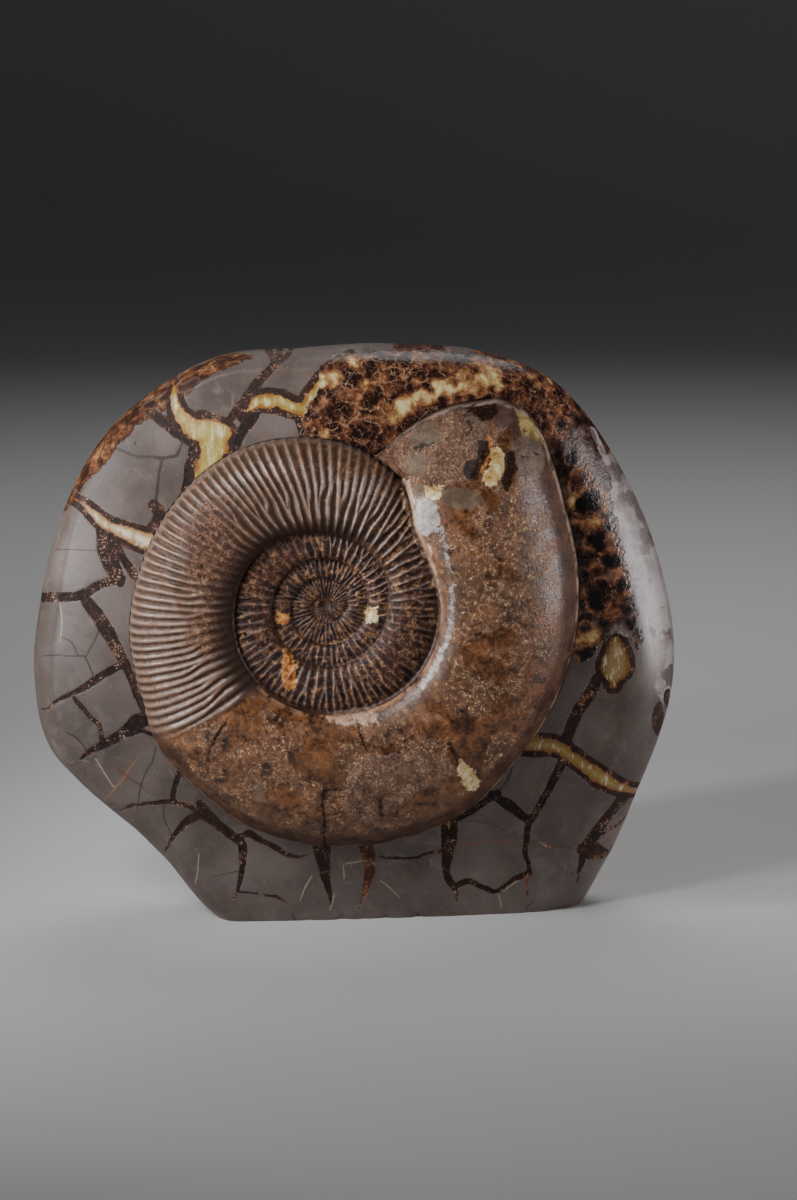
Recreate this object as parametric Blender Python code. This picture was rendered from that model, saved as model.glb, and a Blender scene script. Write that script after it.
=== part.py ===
"""Ammonite in a septarian nodule: a polished stone that stands on a flat sawn base.

Row frame: +Z up, the polished face and the fossil look along -Y, +X to their right.
The origin is under the middle of the stone, on the surface that it stands on.
Everything is laid out by direction (in degrees, counter-clockwise from +X, as seen
from the front) and by distance from the middle of the ammonite's coil.
"""

import math

import bmesh
import bpy
import numpy as np

MM = 0.001
TURN = 360.0

# ---- driving dimensions, in millimetres and degrees --------------------------------

COIL_X = -17.0               # middle of the ammonite's coil, in the plane of the face
COIL_Z = 233.0
FACETS = 60                  # facets round both pieces

# The nodule's rim, where the stone is widest: direction, distance from the coil's
# middle. It runs on below the base, which is sawn off flat at z = 0.
RIM = [
    (7, 233), (24, 223), (41, 218), (57, 201), (73, 182), (95, 173), (114, 183),
    (130, 187), (142, 191), (161, 194), (179, 202), (195, 217), (209, 228), (216, 225),
    (229, 221), (237, 226), (249, 249), (257, 262), (271, 261), (291, 276), (304, 297),
    (314, 282), (327, 264), (344, 254),
]
RIM_Y = 7.0                  # depth of the rim
# Width of the rounded shoulder between the polished face and the rim.
SHOULDER = [
    (0, 38), (45, 30), (80, 14), (110, 11), (150, 11), (185, 19), (225, 20), (260, 18),
    (290, 24), (315, 36),
]
FACE_Y = -38.0               # depth of the polished face at its highest point
FACE_DROP = 14.0             # how far the domed face falls back at DOME_RADIUS
DOME_RADIUS = 225.0
FACE_MIDDLE_X = -7.0
FACE_MIDDLE_Z = 212.0
FACE_LEAN = 0.04             # the face turns back a little towards the right
BACK_MIDDLE_X = 0.0          # the middle of the rounded back
BACK_MIDDLE_Z = 205.0
BACK_DEPTH = 68.0            # from the rim to the rearmost point
BACK_FULLNESS = (2.6, 2.2)   # exponents of the back's rounding

# The edge of the ammonite's coil: angle along the spiral, distance from its middle.
# A turn lies between the edge one turn earlier and the edge at the same angle.
COIL = [
    (-900, 24), (-860, 26), (-730, 28), (-640, 33), (-560, 36.5), (-460, 40.5),
    (-360, 42.5), (-330, 47), (-270, 52), (-220, 60), (-180, 63), (-120, 70), (-90, 72),
    (-30, 77), (20, 77), (40, 81), (50, 91), (60, 102), (72, 108), (85, 113), (98, 117),
    (120, 123), (150, 127), (165, 130), (190, 139), (205, 144), (220, 156), (235, 161),
    (250, 170), (270, 175.5), (300, 180), (321, 175), (345, 175), (378, 177),
    (390, 183), (401, 191), (409, 185), (414, 171), (419, 155), (424, 136), (432, 108),
]
COIL_START = -900.0          # the innermost turns are a plain disc within this
COIL_END = 432.0             # the broken mouth closes on the turn below it
WHORL_WIDTH = 63.0           # full width of the turn at WHORL_DEG
WHORL_DEG = 90.0
GROWTH = 1.8                 # a turn grows this much in one revolution
RELIEF_SHARE = 0.42          # a turn stands this share of its width above the face
CREST = 0.35                 # where the turn is highest, as a share of its width
FLANK_OPENS = (44.0, 78.0)   # the covered flank comes out from under the last turn
MOUTH_FALLS = (378.0, 430.0) # the broken mouth falls towards the face
ACROSS = (0.0, 0.06, 0.16, 0.38, 0.66, 0.88, 1.0)   # stations across a turn
CORE_RELIEF = 3.0            # the middle of the coil stands this far above the face

BURIED_DEPTH = 40.0          # the ammonite's buried half
BURIED_STATIONS = (0.97, 0.88, 0.7, 0.4)
BURIED_FULLNESS = 4.0
FIT_GAP = 0.4                # between the ammonite and the stone around it

FACE_STATIONS = (0.0, 0.35, 0.7)          # from the pocket's edge to the shoulder
SHOULDER_ANGLES = (0.0, 25.0, 50.0, 72.0, 90.0)
BACK_STATIONS = (0.965, 0.87, 0.72, 0.5, 0.25)


STEP_DEG = TURN / FACETS


# ---- curves and surfaces ------------------------------------------------------------

def curve(table, at):
    """A smooth line through the table's points that doesn't overshoot them."""
    xs = np.array([p[0] for p in table], float)
    ys = np.array([p[1] for p in table], float)
    slopes = np.diff(ys) / np.diff(xs)
    tangents = np.zeros(len(xs))
    for i in range(1, len(xs) - 1):
        before, after = slopes[i - 1], slopes[i]
        if before * after > 0:
            tangents[i] = 2 * before * after / (before + after)
    i = int(np.clip(np.searchsorted(xs, at) - 1, 0, len(xs) - 2))
    width = xs[i + 1] - xs[i]
    t = min(max((at - xs[i]) / width, 0.0), 1.0)
    return float(
        ys[i] * (1 + 2 * t) * (1 - t) ** 2
        + ys[i + 1] * t * t * (3 - 2 * t)
        + width * (tangents[i] * t * (1 - t) ** 2 - tangents[i + 1] * t * t * (1 - t))
    )


def closed_curve(table, degrees):
    """The same, round a closed loop of directions."""
    before = [(a - TURN, r) for a, r in table[-3:]]
    after = [(a + TURN, r) for a, r in table[:3]]
    return curve(before + table + after, degrees % TURN)


def smoothstep(low, high, value):
    t = min(max((value - low) / (high - low), 0.0), 1.0)
    return t * t * (3 - 2 * t)


def in_plane(degrees, radius):
    """x and z of a point at this direction and distance from the coil's middle."""
    a = math.radians(degrees)
    return COIL_X + radius * math.cos(a), COIL_Z + radius * math.sin(a)


def face_y(x, z):
    """Depth of the polished face, a shallow dome."""
    off_x, off_z = x - FACE_MIDDLE_X, z - FACE_MIDDLE_Z
    return FACE_Y + FACE_DROP * (off_x ** 2 + off_z ** 2) / DOME_RADIUS ** 2 + FACE_LEAN * off_x


# ---- the ammonite -------------------------------------------------------------------

def coil_edge(spiral_deg):
    """Distance of the coil's edge; inside COIL_START it is the plain core's rim."""
    return curve(COIL, max(spiral_deg, COIL_START))


def whorl_width(spiral_deg):
    return WHORL_WIDTH * GROWTH ** ((spiral_deg - WHORL_DEG) / TURN)


def flank(share):
    """Height of the outer flank, as a share of the crest's, from the crest outwards."""
    out = min(max((share - CREST) / (1 - CREST), 0.0), 1.0)
    return (1 - out ** 2.6) ** (1 / 1.8)


def edge_relief(spiral_deg):
    """How high the coil's edge stands above the face: on the turn that covers it, or 0."""
    crest = RELIEF_SHARE * whorl_width(spiral_deg)
    shown = (coil_edge(spiral_deg) - coil_edge(spiral_deg - TURN)) / whorl_width(spiral_deg)
    free = smoothstep(*FLANK_OPENS, spiral_deg)
    return crest * flank(shown) * (1 - free)


def relief(spiral_deg, across):
    """Height above the face, across from the turn's inner edge (0) to its outer (1)."""
    inner = edge_relief(spiral_deg - TURN)
    outer = edge_relief(spiral_deg)
    crest = RELIEF_SHARE * whorl_width(spiral_deg)
    crest += (inner - crest) * 0.85 * smoothstep(*MOUTH_FALLS, spiral_deg)
    shown = (coil_edge(spiral_deg) - coil_edge(spiral_deg - TURN)) / whorl_width(spiral_deg)
    share = across * min(shown, 1.0)
    if across >= 1.0:
        return outer
    if share < CREST:
        rise = math.sqrt(1 - (1 - share / CREST) ** 3)
        return inner + (crest - inner) * rise
    return max(crest * flank(share), outer)


def on_relief(degrees, radius, height):
    x, z = in_plane(degrees, radius)
    return x * MM, (face_y(x, z) - height) * MM, z * MM


def ammonite_outline(gap=0.0):
    """Direction and distance of the ammonite's edge on the face, one per facet."""
    angles = [COIL_END - TURN + k * STEP_DEG for k in range(FACETS)]
    return [(a, coil_edge(a) + gap) for a in angles]


def ring_faces(bm, one, other):
    """Quads between two closed rings of the same length."""
    for k in range(len(one)):
        after = (k + 1) % len(one)
        bm.faces.new((one[k], one[after], other[after], other[k]))


def cap(bm, ring, point):
    """A fan from a closed ring to a point."""
    tip = bm.verts.new(point)
    for k in range(len(ring)):
        bm.faces.new((ring[k], ring[(k + 1) % len(ring)], tip))


def close_bowl(bm, edge, outline, gap):
    """The rounded bowl of the buried half, from its edge on the face to its bottom."""
    depth = BURIED_DEPTH + gap
    ring = edge
    for station in BURIED_STATIONS:
        sink = depth * (1 - station ** BURIED_FULLNESS) ** (1 / BURIED_FULLNESS)
        inner = [bm.verts.new(on_relief(a, r * station, -sink)) for a, r in outline]
        ring_faces(bm, ring, inner)
        ring = inner
    cap(bm, ring, on_relief(0, 0, -depth))


def build_ammonite():
    bm = bmesh.new()
    steps = round((COIL_END - COIL_START) / STEP_DEG)
    last = len(ACROSS) - 1
    core = []
    for k in range(FACETS):
        point = on_relief(COIL_START + k * STEP_DEG, coil_edge(COIL_START), CORE_RELIEF)
        core.append(bm.verts.new(point))
    rows = []
    for i in range(steps + 1):
        spiral = COIL_START + i * STEP_DEG
        inner = core[i] if i < FACETS else rows[i - FACETS][last]
        inner_radius = coil_edge(spiral - TURN)
        if i in (0, steps):
            rows.append([inner] * len(ACROSS))
            continue
        row = [inner]
        for across in ACROSS[1:]:
            radius = inner_radius + (coil_edge(spiral) - inner_radius) * across
            row.append(bm.verts.new(on_relief(spiral, radius, relief(spiral, across))))
        rows.append(row)
    for row, following in zip(rows, rows[1:]):
        for j in range(last):
            corners = [row[j], row[j + 1], following[j + 1], following[j]]
            kept = [v for k, v in enumerate(corners) if v not in corners[:k]]
            if len(kept) > 2:
                bm.faces.new(kept)
    cap(bm, core, on_relief(0, 0, CORE_RELIEF))
    outline = [rows[i][last] for i in range(steps - FACETS, steps)]
    close_bowl(bm, outline, ammonite_outline(), 0.0)
    return finish(bm, "ammonite")


# ---- the nodule ---------------------------------------------------------------------

def build_nodule():
    bm = bmesh.new()
    outline = ammonite_outline(FIT_GAP)
    pocket_edge = [in_plane(a, r) for a, r in outline]
    rim = [in_plane(a, closed_curve(RIM, a)) for a, _ in outline]
    shoulder = [closed_curve(SHOULDER, a) for a, _ in outline]
    face_edge = [in_plane(a, closed_curve(RIM, a) - w) for (a, _), w in zip(outline, shoulder)]
    rings = []
    for t in FACE_STATIONS:
        ring = []
        for (x0, z0), (x1, z1) in zip(pocket_edge, face_edge):
            x, z = x0 + (x1 - x0) * t, z0 + (z1 - z0) * t
            ring.append((x, face_y(x, z), z))
        rings.append(ring)
    for degrees in SHOULDER_ANGLES:
        a = math.radians(degrees)
        ring = []
        for (x0, z0), (x1, z1) in zip(face_edge, rim):
            x, z = x0 + (x1 - x0) * math.sin(a), z0 + (z1 - z0) * math.sin(a)
            ring.append((x, RIM_Y - (RIM_Y - face_y(x0, z0)) * math.cos(a), z))
        rings.append(ring)
    for share in BACK_STATIONS:
        round_in, round_out = BACK_FULLNESS
        y = RIM_Y + BACK_DEPTH * (1 - share ** round_in) ** (1 / round_out)
        rings.append([
            (BACK_MIDDLE_X + (x - BACK_MIDDLE_X) * share, y, BACK_MIDDLE_Z + (z - BACK_MIDDLE_Z) * share)
            for x, z in rim
        ])
    made = [[bm.verts.new([c * MM for c in point]) for point in ring] for ring in rings]
    for one, other in zip(made, made[1:]):
        ring_faces(bm, one, other)
    cap(bm, made[-1], [c * MM for c in (BACK_MIDDLE_X, RIM_Y + BACK_DEPTH, BACK_MIDDLE_Z)])
    close_bowl(bm, made[0], outline, FIT_GAP)
    saw_base(bm)
    return finish(bm, "nodule")


def saw_base(bm):
    """Cuts everything below z = 0 away and closes the cut with one flat face."""
    everything = bm.verts[:] + bm.edges[:] + bm.faces[:]
    bmesh.ops.bisect_plane(
        bm, geom=everything, plane_co=(0, 0, 0), plane_no=(0, 0, 1), clear_inner=True
    )
    open_edges = [e for e in bm.edges if e.is_boundary]
    bmesh.ops.edgeloop_fill(bm, edges=open_edges)


# ---- objects and materials ----------------------------------------------------------

def finish(bm, name):
    bmesh.ops.recalc_face_normals(bm, faces=bm.faces[:])
    mesh = bpy.data.meshes.new(name)
    bm.to_mesh(mesh)
    bm.free()
    mesh.shade_smooth()
    mesh.set_sharp_from_angle(angle=math.radians(40))
    made = bpy.data.objects.new(name, mesh)
    bpy.context.scene.collection.objects.link(made)
    return made


def material(name, colour, roughness):
    made = bpy.data.materials.new(name)
    made.use_nodes = True
    shader = made.node_tree.nodes["Principled BSDF"]
    shader.inputs["Base Color"].default_value = (*colour, 1.0)
    shader.inputs["Roughness"].default_value = roughness
    shader.inputs["Metallic"].default_value = 0.0
    return made


def main():
    for old in list(bpy.data.objects):
        bpy.data.objects.remove(old)
    nodule = build_nodule()
    nodule.data.materials.append(material("polished_limestone", (0.19, 0.165, 0.15), 0.32))
    ammonite = build_ammonite()
    ammonite.data.materials.append(material("ammonite_shell", (0.25, 0.15, 0.085), 0.38))


main()
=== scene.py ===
"""The looks of the ammonite in its septarian nodule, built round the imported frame.

Lengths are in millimetres until a mesh is made. The stone and the fossil are laid out
by direction (degrees counter-clockwise from +X, seen from the front) and by distance
from the middle of the ammonite's coil. Markings are placed by pixels of the 797 x 1200
photograph, and each is carried through the camera onto the surface that it lies on.
Tables of markings are flat rows of numbers, and each table's comment says what they are.
"""
import math

import bmesh
import bpy
import numpy as np
from mathutils import Matrix, Vector


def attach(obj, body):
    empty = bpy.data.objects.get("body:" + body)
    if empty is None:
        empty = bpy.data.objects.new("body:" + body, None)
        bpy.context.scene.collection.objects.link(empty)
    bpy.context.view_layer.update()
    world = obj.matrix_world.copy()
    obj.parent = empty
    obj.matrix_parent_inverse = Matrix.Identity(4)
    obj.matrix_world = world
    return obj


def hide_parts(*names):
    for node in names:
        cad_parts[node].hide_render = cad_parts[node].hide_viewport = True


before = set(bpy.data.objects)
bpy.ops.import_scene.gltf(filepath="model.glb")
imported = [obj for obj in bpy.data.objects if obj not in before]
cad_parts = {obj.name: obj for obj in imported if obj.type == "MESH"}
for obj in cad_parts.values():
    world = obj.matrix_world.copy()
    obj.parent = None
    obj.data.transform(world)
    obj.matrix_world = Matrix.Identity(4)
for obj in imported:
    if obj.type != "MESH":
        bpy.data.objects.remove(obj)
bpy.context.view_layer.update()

MM = 0.001
TURN = 360.0

# ---- camera --------------------------------------------------------------------------

IMAGE_WIDTH, IMAGE_HEIGHT = 797, 1200
MIDDLE_PX, MIDDLE_PY = IMAGE_WIDTH / 2, IMAGE_HEIGHT / 2
LENS = 80.0
SENSOR = 36.0                     # on the long side
ELEVATION, ROLL = 12.0, 0.8       # degrees
CAMERA_AT = np.array([32.6, -1840.0, 618.3])


def camera_axes():
    """Forwards, right and up of the camera."""
    e, roll = math.radians(ELEVATION), math.radians(ROLL)
    forwards = np.array([0.0, math.cos(e), -math.sin(e)])
    level = np.array([1.0, 0.0, 0.0])
    above = np.array([0.0, math.sin(e), math.cos(e)])
    right = math.cos(roll) * level - math.sin(roll) * above
    up = math.sin(roll) * level + math.cos(roll) * above
    return forwards, right, up


FORWARDS, RIGHT, UP = camera_axes()
PER_PIXEL = SENSOR / LENS / IMAGE_HEIGHT
LANDING_ROUNDS = 14               # steps in finding where a pixel's line meets a surface


def make_camera():
    data = bpy.data.cameras.new("camera")
    data.lens, data.sensor_width = LENS, SENSOR
    data.clip_start, data.clip_end = 0.05, 20.0
    camera = bpy.data.objects.new("camera", data)
    turn = Matrix([RIGHT, UP, -FORWARDS]).transposed()
    camera.matrix_world = Matrix.Translation(Vector(CAMERA_AT * MM)) @ turn.to_4x4()
    bpy.context.scene.collection.objects.link(camera)
    bpy.context.scene.camera = camera


# ---- the shape that the CAD part has, in the same dimensions ---------------------------

COIL_X, COIL_Z = -17.0, 233.0
RIM = [
    (7, 233), (24, 223), (41, 218), (57, 201), (73, 182), (95, 173), (114, 183),
    (130, 187), (142, 191), (161, 194), (179, 202), (195, 217), (209, 228), (216, 225),
    (229, 221), (237, 226), (249, 249), (257, 262), (271, 261), (291, 276), (304, 297),
    (314, 282), (327, 264), (344, 254),
]
RIM_Y = 7.0
SHOULDER = [
    (0, 38), (45, 30), (80, 14), (110, 11), (150, 11), (185, 19), (225, 20), (260, 18),
    (290, 24), (315, 36),
]
# 2 is a quarter round; towards 1 the shoulder is ground nearly flat, as a bevel.
SHOULDER_FULLNESS = [(0, 1.35), (35, 1.4), (70, 1.8), (110, 2.0), (280, 2.0), (325, 1.7)]
FACE_Y, FACE_DROP, DOME_RADIUS = -38.0, 14.0, 225.0
FACE_MIDDLE_X, FACE_MIDDLE_Z, FACE_LEAN = -7.0, 212.0, 0.04
# The polished face rolls back by this much towards the rim, over this width.
FACE_ROLL = [(0, 0), (70, 0), (130, 4.5), (185, 6), (225, 3), (265, 0)]
FACE_ROLL_WIDTH = 64.0
BACK_MIDDLE_X, BACK_MIDDLE_Z, BACK_DEPTH = 0.0, 205.0, 68.0
BACK_FULLNESS = (2.6, 2.2)

# The CAD part stops the coil at a plain core; here it winds on to its middle.
COIL = [
    (-1440, 3.5), (-1260, 9), (-1080, 15), (-950, 21), (-860, 26), (-730, 28),
    (-640, 33), (-560, 36.5), (-460, 40.5), (-360, 42.5), (-330, 47), (-270, 52),
    (-220, 60), (-180, 63), (-120, 70), (-90, 72), (-30, 77), (20, 77), (40, 81),
    (50, 91), (60, 102), (72, 108), (85, 113), (98, 117), (120, 123), (150, 127),
    (165, 130), (190, 139), (205, 144), (220, 156), (235, 161), (250, 170),
    (270, 175.5), (300, 180), (321, 175), (345, 175), (378, 177), (390, 183),
    (401, 191), (409, 185), (414, 171), (419, 155), (424, 136), (432, 108),
]
COIL_START, COIL_END = -1440.0, 432.0
TURNS = range(-4, 2)              # whole turns between them
WHORL_WIDTH, WHORL_DEG, GROWTH = 63.0, 90.0, 1.8
RELIEF_SHARE, CREST = 0.42, 0.35
MOST_SHOWN = 0.70                 # share of an inner turn's width that shows
FLANK_OPENS = (44.0, 78.0)
MOUTH_FALLS = (378.0, 430.0)
BURIED_DEPTH, BURIED_FULLNESS, FIT_GAP = 40.0, 4.0, 0.4


# ---- arithmetic on whole arrays --------------------------------------------------------

def curve(table, at):
    """A smooth line through the table's points that doesn't overshoot them."""
    xs = np.array([p[0] for p in table], float)
    ys = np.array([p[1] for p in table], float)
    slopes = np.diff(ys) / np.diff(xs)
    before, after = slopes[:-1], slopes[1:]
    same_way = before * after > 0
    both = np.where(same_way, before + after, 1.0)
    tangents = np.zeros(len(xs))
    tangents[1:-1] = np.where(same_way, 2 * before * after / both, 0.0)
    at = np.asarray(at, float)
    i = np.clip(np.searchsorted(xs, at) - 1, 0, len(xs) - 2)
    width = xs[i + 1] - xs[i]
    t = np.clip((at - xs[i]) / width, 0.0, 1.0)
    return (
        ys[i] * (1 + 2 * t) * (1 - t) ** 2 + ys[i + 1] * t * t * (3 - 2 * t)
        + width * (tangents[i] * t * (1 - t) ** 2 - tangents[i + 1] * t * t * (1 - t))
    )


def closed_curve(table, degrees):
    """The same line for a table of directions, which runs on past 360 degrees."""
    before = [(a - TURN, r) for a, r in table[-3:]]
    after = [(a + TURN, r) for a, r in table[:3]]
    return curve(before + table + after, np.mod(degrees, TURN))


def smoothstep(low, high, value):
    t = np.clip((value - low) / (high - low), 0.0, 1.0)
    return t * t * (3 - 2 * t)


def lattice(ix, iy, iz, seed):
    """A repeatable number from 0 to 1 for each whole-numbered point."""
    h = (ix * 73856093) ^ (iy * 19349663) ^ (iz * 83492791) ^ (seed * 2654435761)
    h = (h ^ (h >> 13)) * 1274126177 & 0xFFFFFFFF
    return ((h ^ (h >> 16)) & 0xFFFF) / 65535.0


def noise(points, size, seed=0, octaves=1):
    """Smooth noise from -1 to 1 at each point, with lumps of about this size."""
    total = np.zeros(len(points))
    share, weight = 1.0, 0.0
    for octave in range(octaves):
        p = points / size * 2 ** octave + 17.3 * octave
        whole = np.floor(p).astype(np.int64)
        f = p - whole
        f = f * f * (3 - 2 * f)
        value = np.zeros(len(points))
        for corner in range(8):
            step = np.array([corner & 1, corner >> 1 & 1, corner >> 2 & 1])
            part = np.prod(np.where(step, f, 1 - f), axis=1)
            value += part * lattice(*(whole + step).T, seed + octave)
        total += share * (2 * value - 1)
        weight += share
        share *= 0.5
    return total / weight


# ---- the stone's front, and the way from a pixel onto it --------------------------------

def polar(x, z):
    """Direction, in degrees, and distance from the middle of the coil."""
    dx, dz = x - COIL_X, z - COIL_Z
    return np.degrees(np.arctan2(dz, dx)) % TURN, np.hypot(dx, dz)


def face_y(x, z):
    """Depth of the stone's polished face: a shallow dome that rolls back at the rim."""
    off_x, off_z = x - FACE_MIDDLE_X, z - FACE_MIDDLE_Z
    angle, radius = polar(x, z)
    near_rim = np.clip(1 + (radius - closed_curve(RIM, angle)) / FACE_ROLL_WIDTH, 0, 1)
    rolled = closed_curve(FACE_ROLL, angle) * near_rim ** 2
    dome = FACE_DROP * (off_x ** 2 + off_z ** 2) / DOME_RADIUS ** 2
    return FACE_Y + dome + FACE_LEAN * off_x + rolled


def front_y(x, z):
    """Depth of the stone's front with its rounded shoulder."""
    angle, radius = polar(x, z)
    width = closed_curve(SHOULDER, angle)
    start = closed_curve(RIM, angle) - width
    a = np.radians(angle)
    edge_y = face_y(COIL_X + start * np.cos(a), COIL_Z + start * np.sin(a))
    out = np.clip((radius - start) / width, 0.0, 1.0)
    full = closed_curve(SHOULDER_FULLNESS, angle)
    rounded = RIM_Y - (RIM_Y - edge_y) * (1 - out ** full) ** (1 / full)
    return np.where(radius < start, face_y(x, z), rounded)


def bowl(share):
    """Depth of the fossil's hidden underside, 1 at its middle and 0 at the coil's edge."""
    return (1 - share ** BURIED_FULLNESS) ** (1 / BURIED_FULLNESS)


def whorl_width(spiral):
    return WHORL_WIDTH * GROWTH ** ((spiral - WHORL_DEG) / TURN)


def coil_edge(spiral):
    return curve(COIL, np.maximum(spiral, COIL_START))


def flank(share):
    """Height of a turn's outer flank, from 1 at its crest to 0 at its foot."""
    out = np.clip((share - CREST) / (1 - CREST), 0.0, 1.0)
    return (1 - out ** 2.6) ** (1 / 1.8)


def shown_share(spiral):
    """How much of a turn's width shows; the inner turns are never bare down to their foot."""
    share = (coil_edge(spiral) - coil_edge(spiral - TURN)) / whorl_width(spiral)
    return np.minimum(share, np.where(spiral < 0, MOST_SHOWN, np.inf))


def edge_relief(spiral):
    crest = RELIEF_SHARE * whorl_width(spiral)
    free = smoothstep(*FLANK_OPENS, spiral)
    return crest * flank(shown_share(spiral)) * (1 - free)


def relief(spiral, across):
    """Height of the coil above the face, across from a turn's inner edge to its outer."""
    inner, outer = edge_relief(spiral - TURN), edge_relief(spiral)
    crest = RELIEF_SHARE * whorl_width(spiral)
    crest = crest + (inner - crest) * 0.85 * smoothstep(*MOUTH_FALLS, spiral)
    share = across * np.minimum(shown_share(spiral), 1.0)
    rise = np.sqrt(1 - (1 - np.clip(share / CREST, 0, 1)) ** 3)
    wall = inner + (crest - inner) * rise
    height = np.where(share < CREST, wall, np.maximum(crest * flank(share), outer))
    return np.where(across >= 1.0, outer, height)


def spiral_of(x, z):
    """The spiral angle and the share across its turn of each point inside the coil."""
    angle, radius = polar(x, z)
    spiral = np.full(np.shape(x), COIL_START)
    across = np.zeros(np.shape(x))
    for turn in TURNS:
        at = angle + TURN * turn
        inner, outer = coil_edge(at - TURN), coil_edge(at)
        inside = (radius >= inner) & (radius <= outer) & (at <= COIL_END) & (at > COIL_START)
        spiral = np.where(inside, at, spiral)
        across = np.where(inside, (radius - inner) / np.maximum(outer - inner, 1e-6), across)
    return spiral, across


def fossil_y(x, z):
    """Depth of the fossil's surface, or of the stone's face outside it."""
    spiral, across = spiral_of(x, z)
    inside = spiral > COIL_START
    return face_y(x, z) - np.where(inside, relief(spiral, across), 0.0)


def land(pixels, surface):
    """x and z, in mm, where each pixel of the photograph lands on a surface."""
    px, py = np.asarray(pixels, float).T[:2]
    way = (
        FORWARDS[None] + ((px - MIDDLE_PX) * PER_PIXEL)[:, None] * RIGHT[None]
        - ((py - MIDDLE_PY) * PER_PIXEL)[:, None] * UP[None]
    )
    y = np.full(len(px), FACE_Y)
    for _ in range(LANDING_ROUNDS):
        at = CAMERA_AT + way * ((y - CAMERA_AT[1]) / way[:, 1])[:, None]
        y = 0.5 * y + 0.5 * surface(at[:, 0], at[:, 2])
    return at[:, [0, 2]]


# ---- the stone's markings; a vein's rows are pixel x, pixel y, full width in pixels -----

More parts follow.
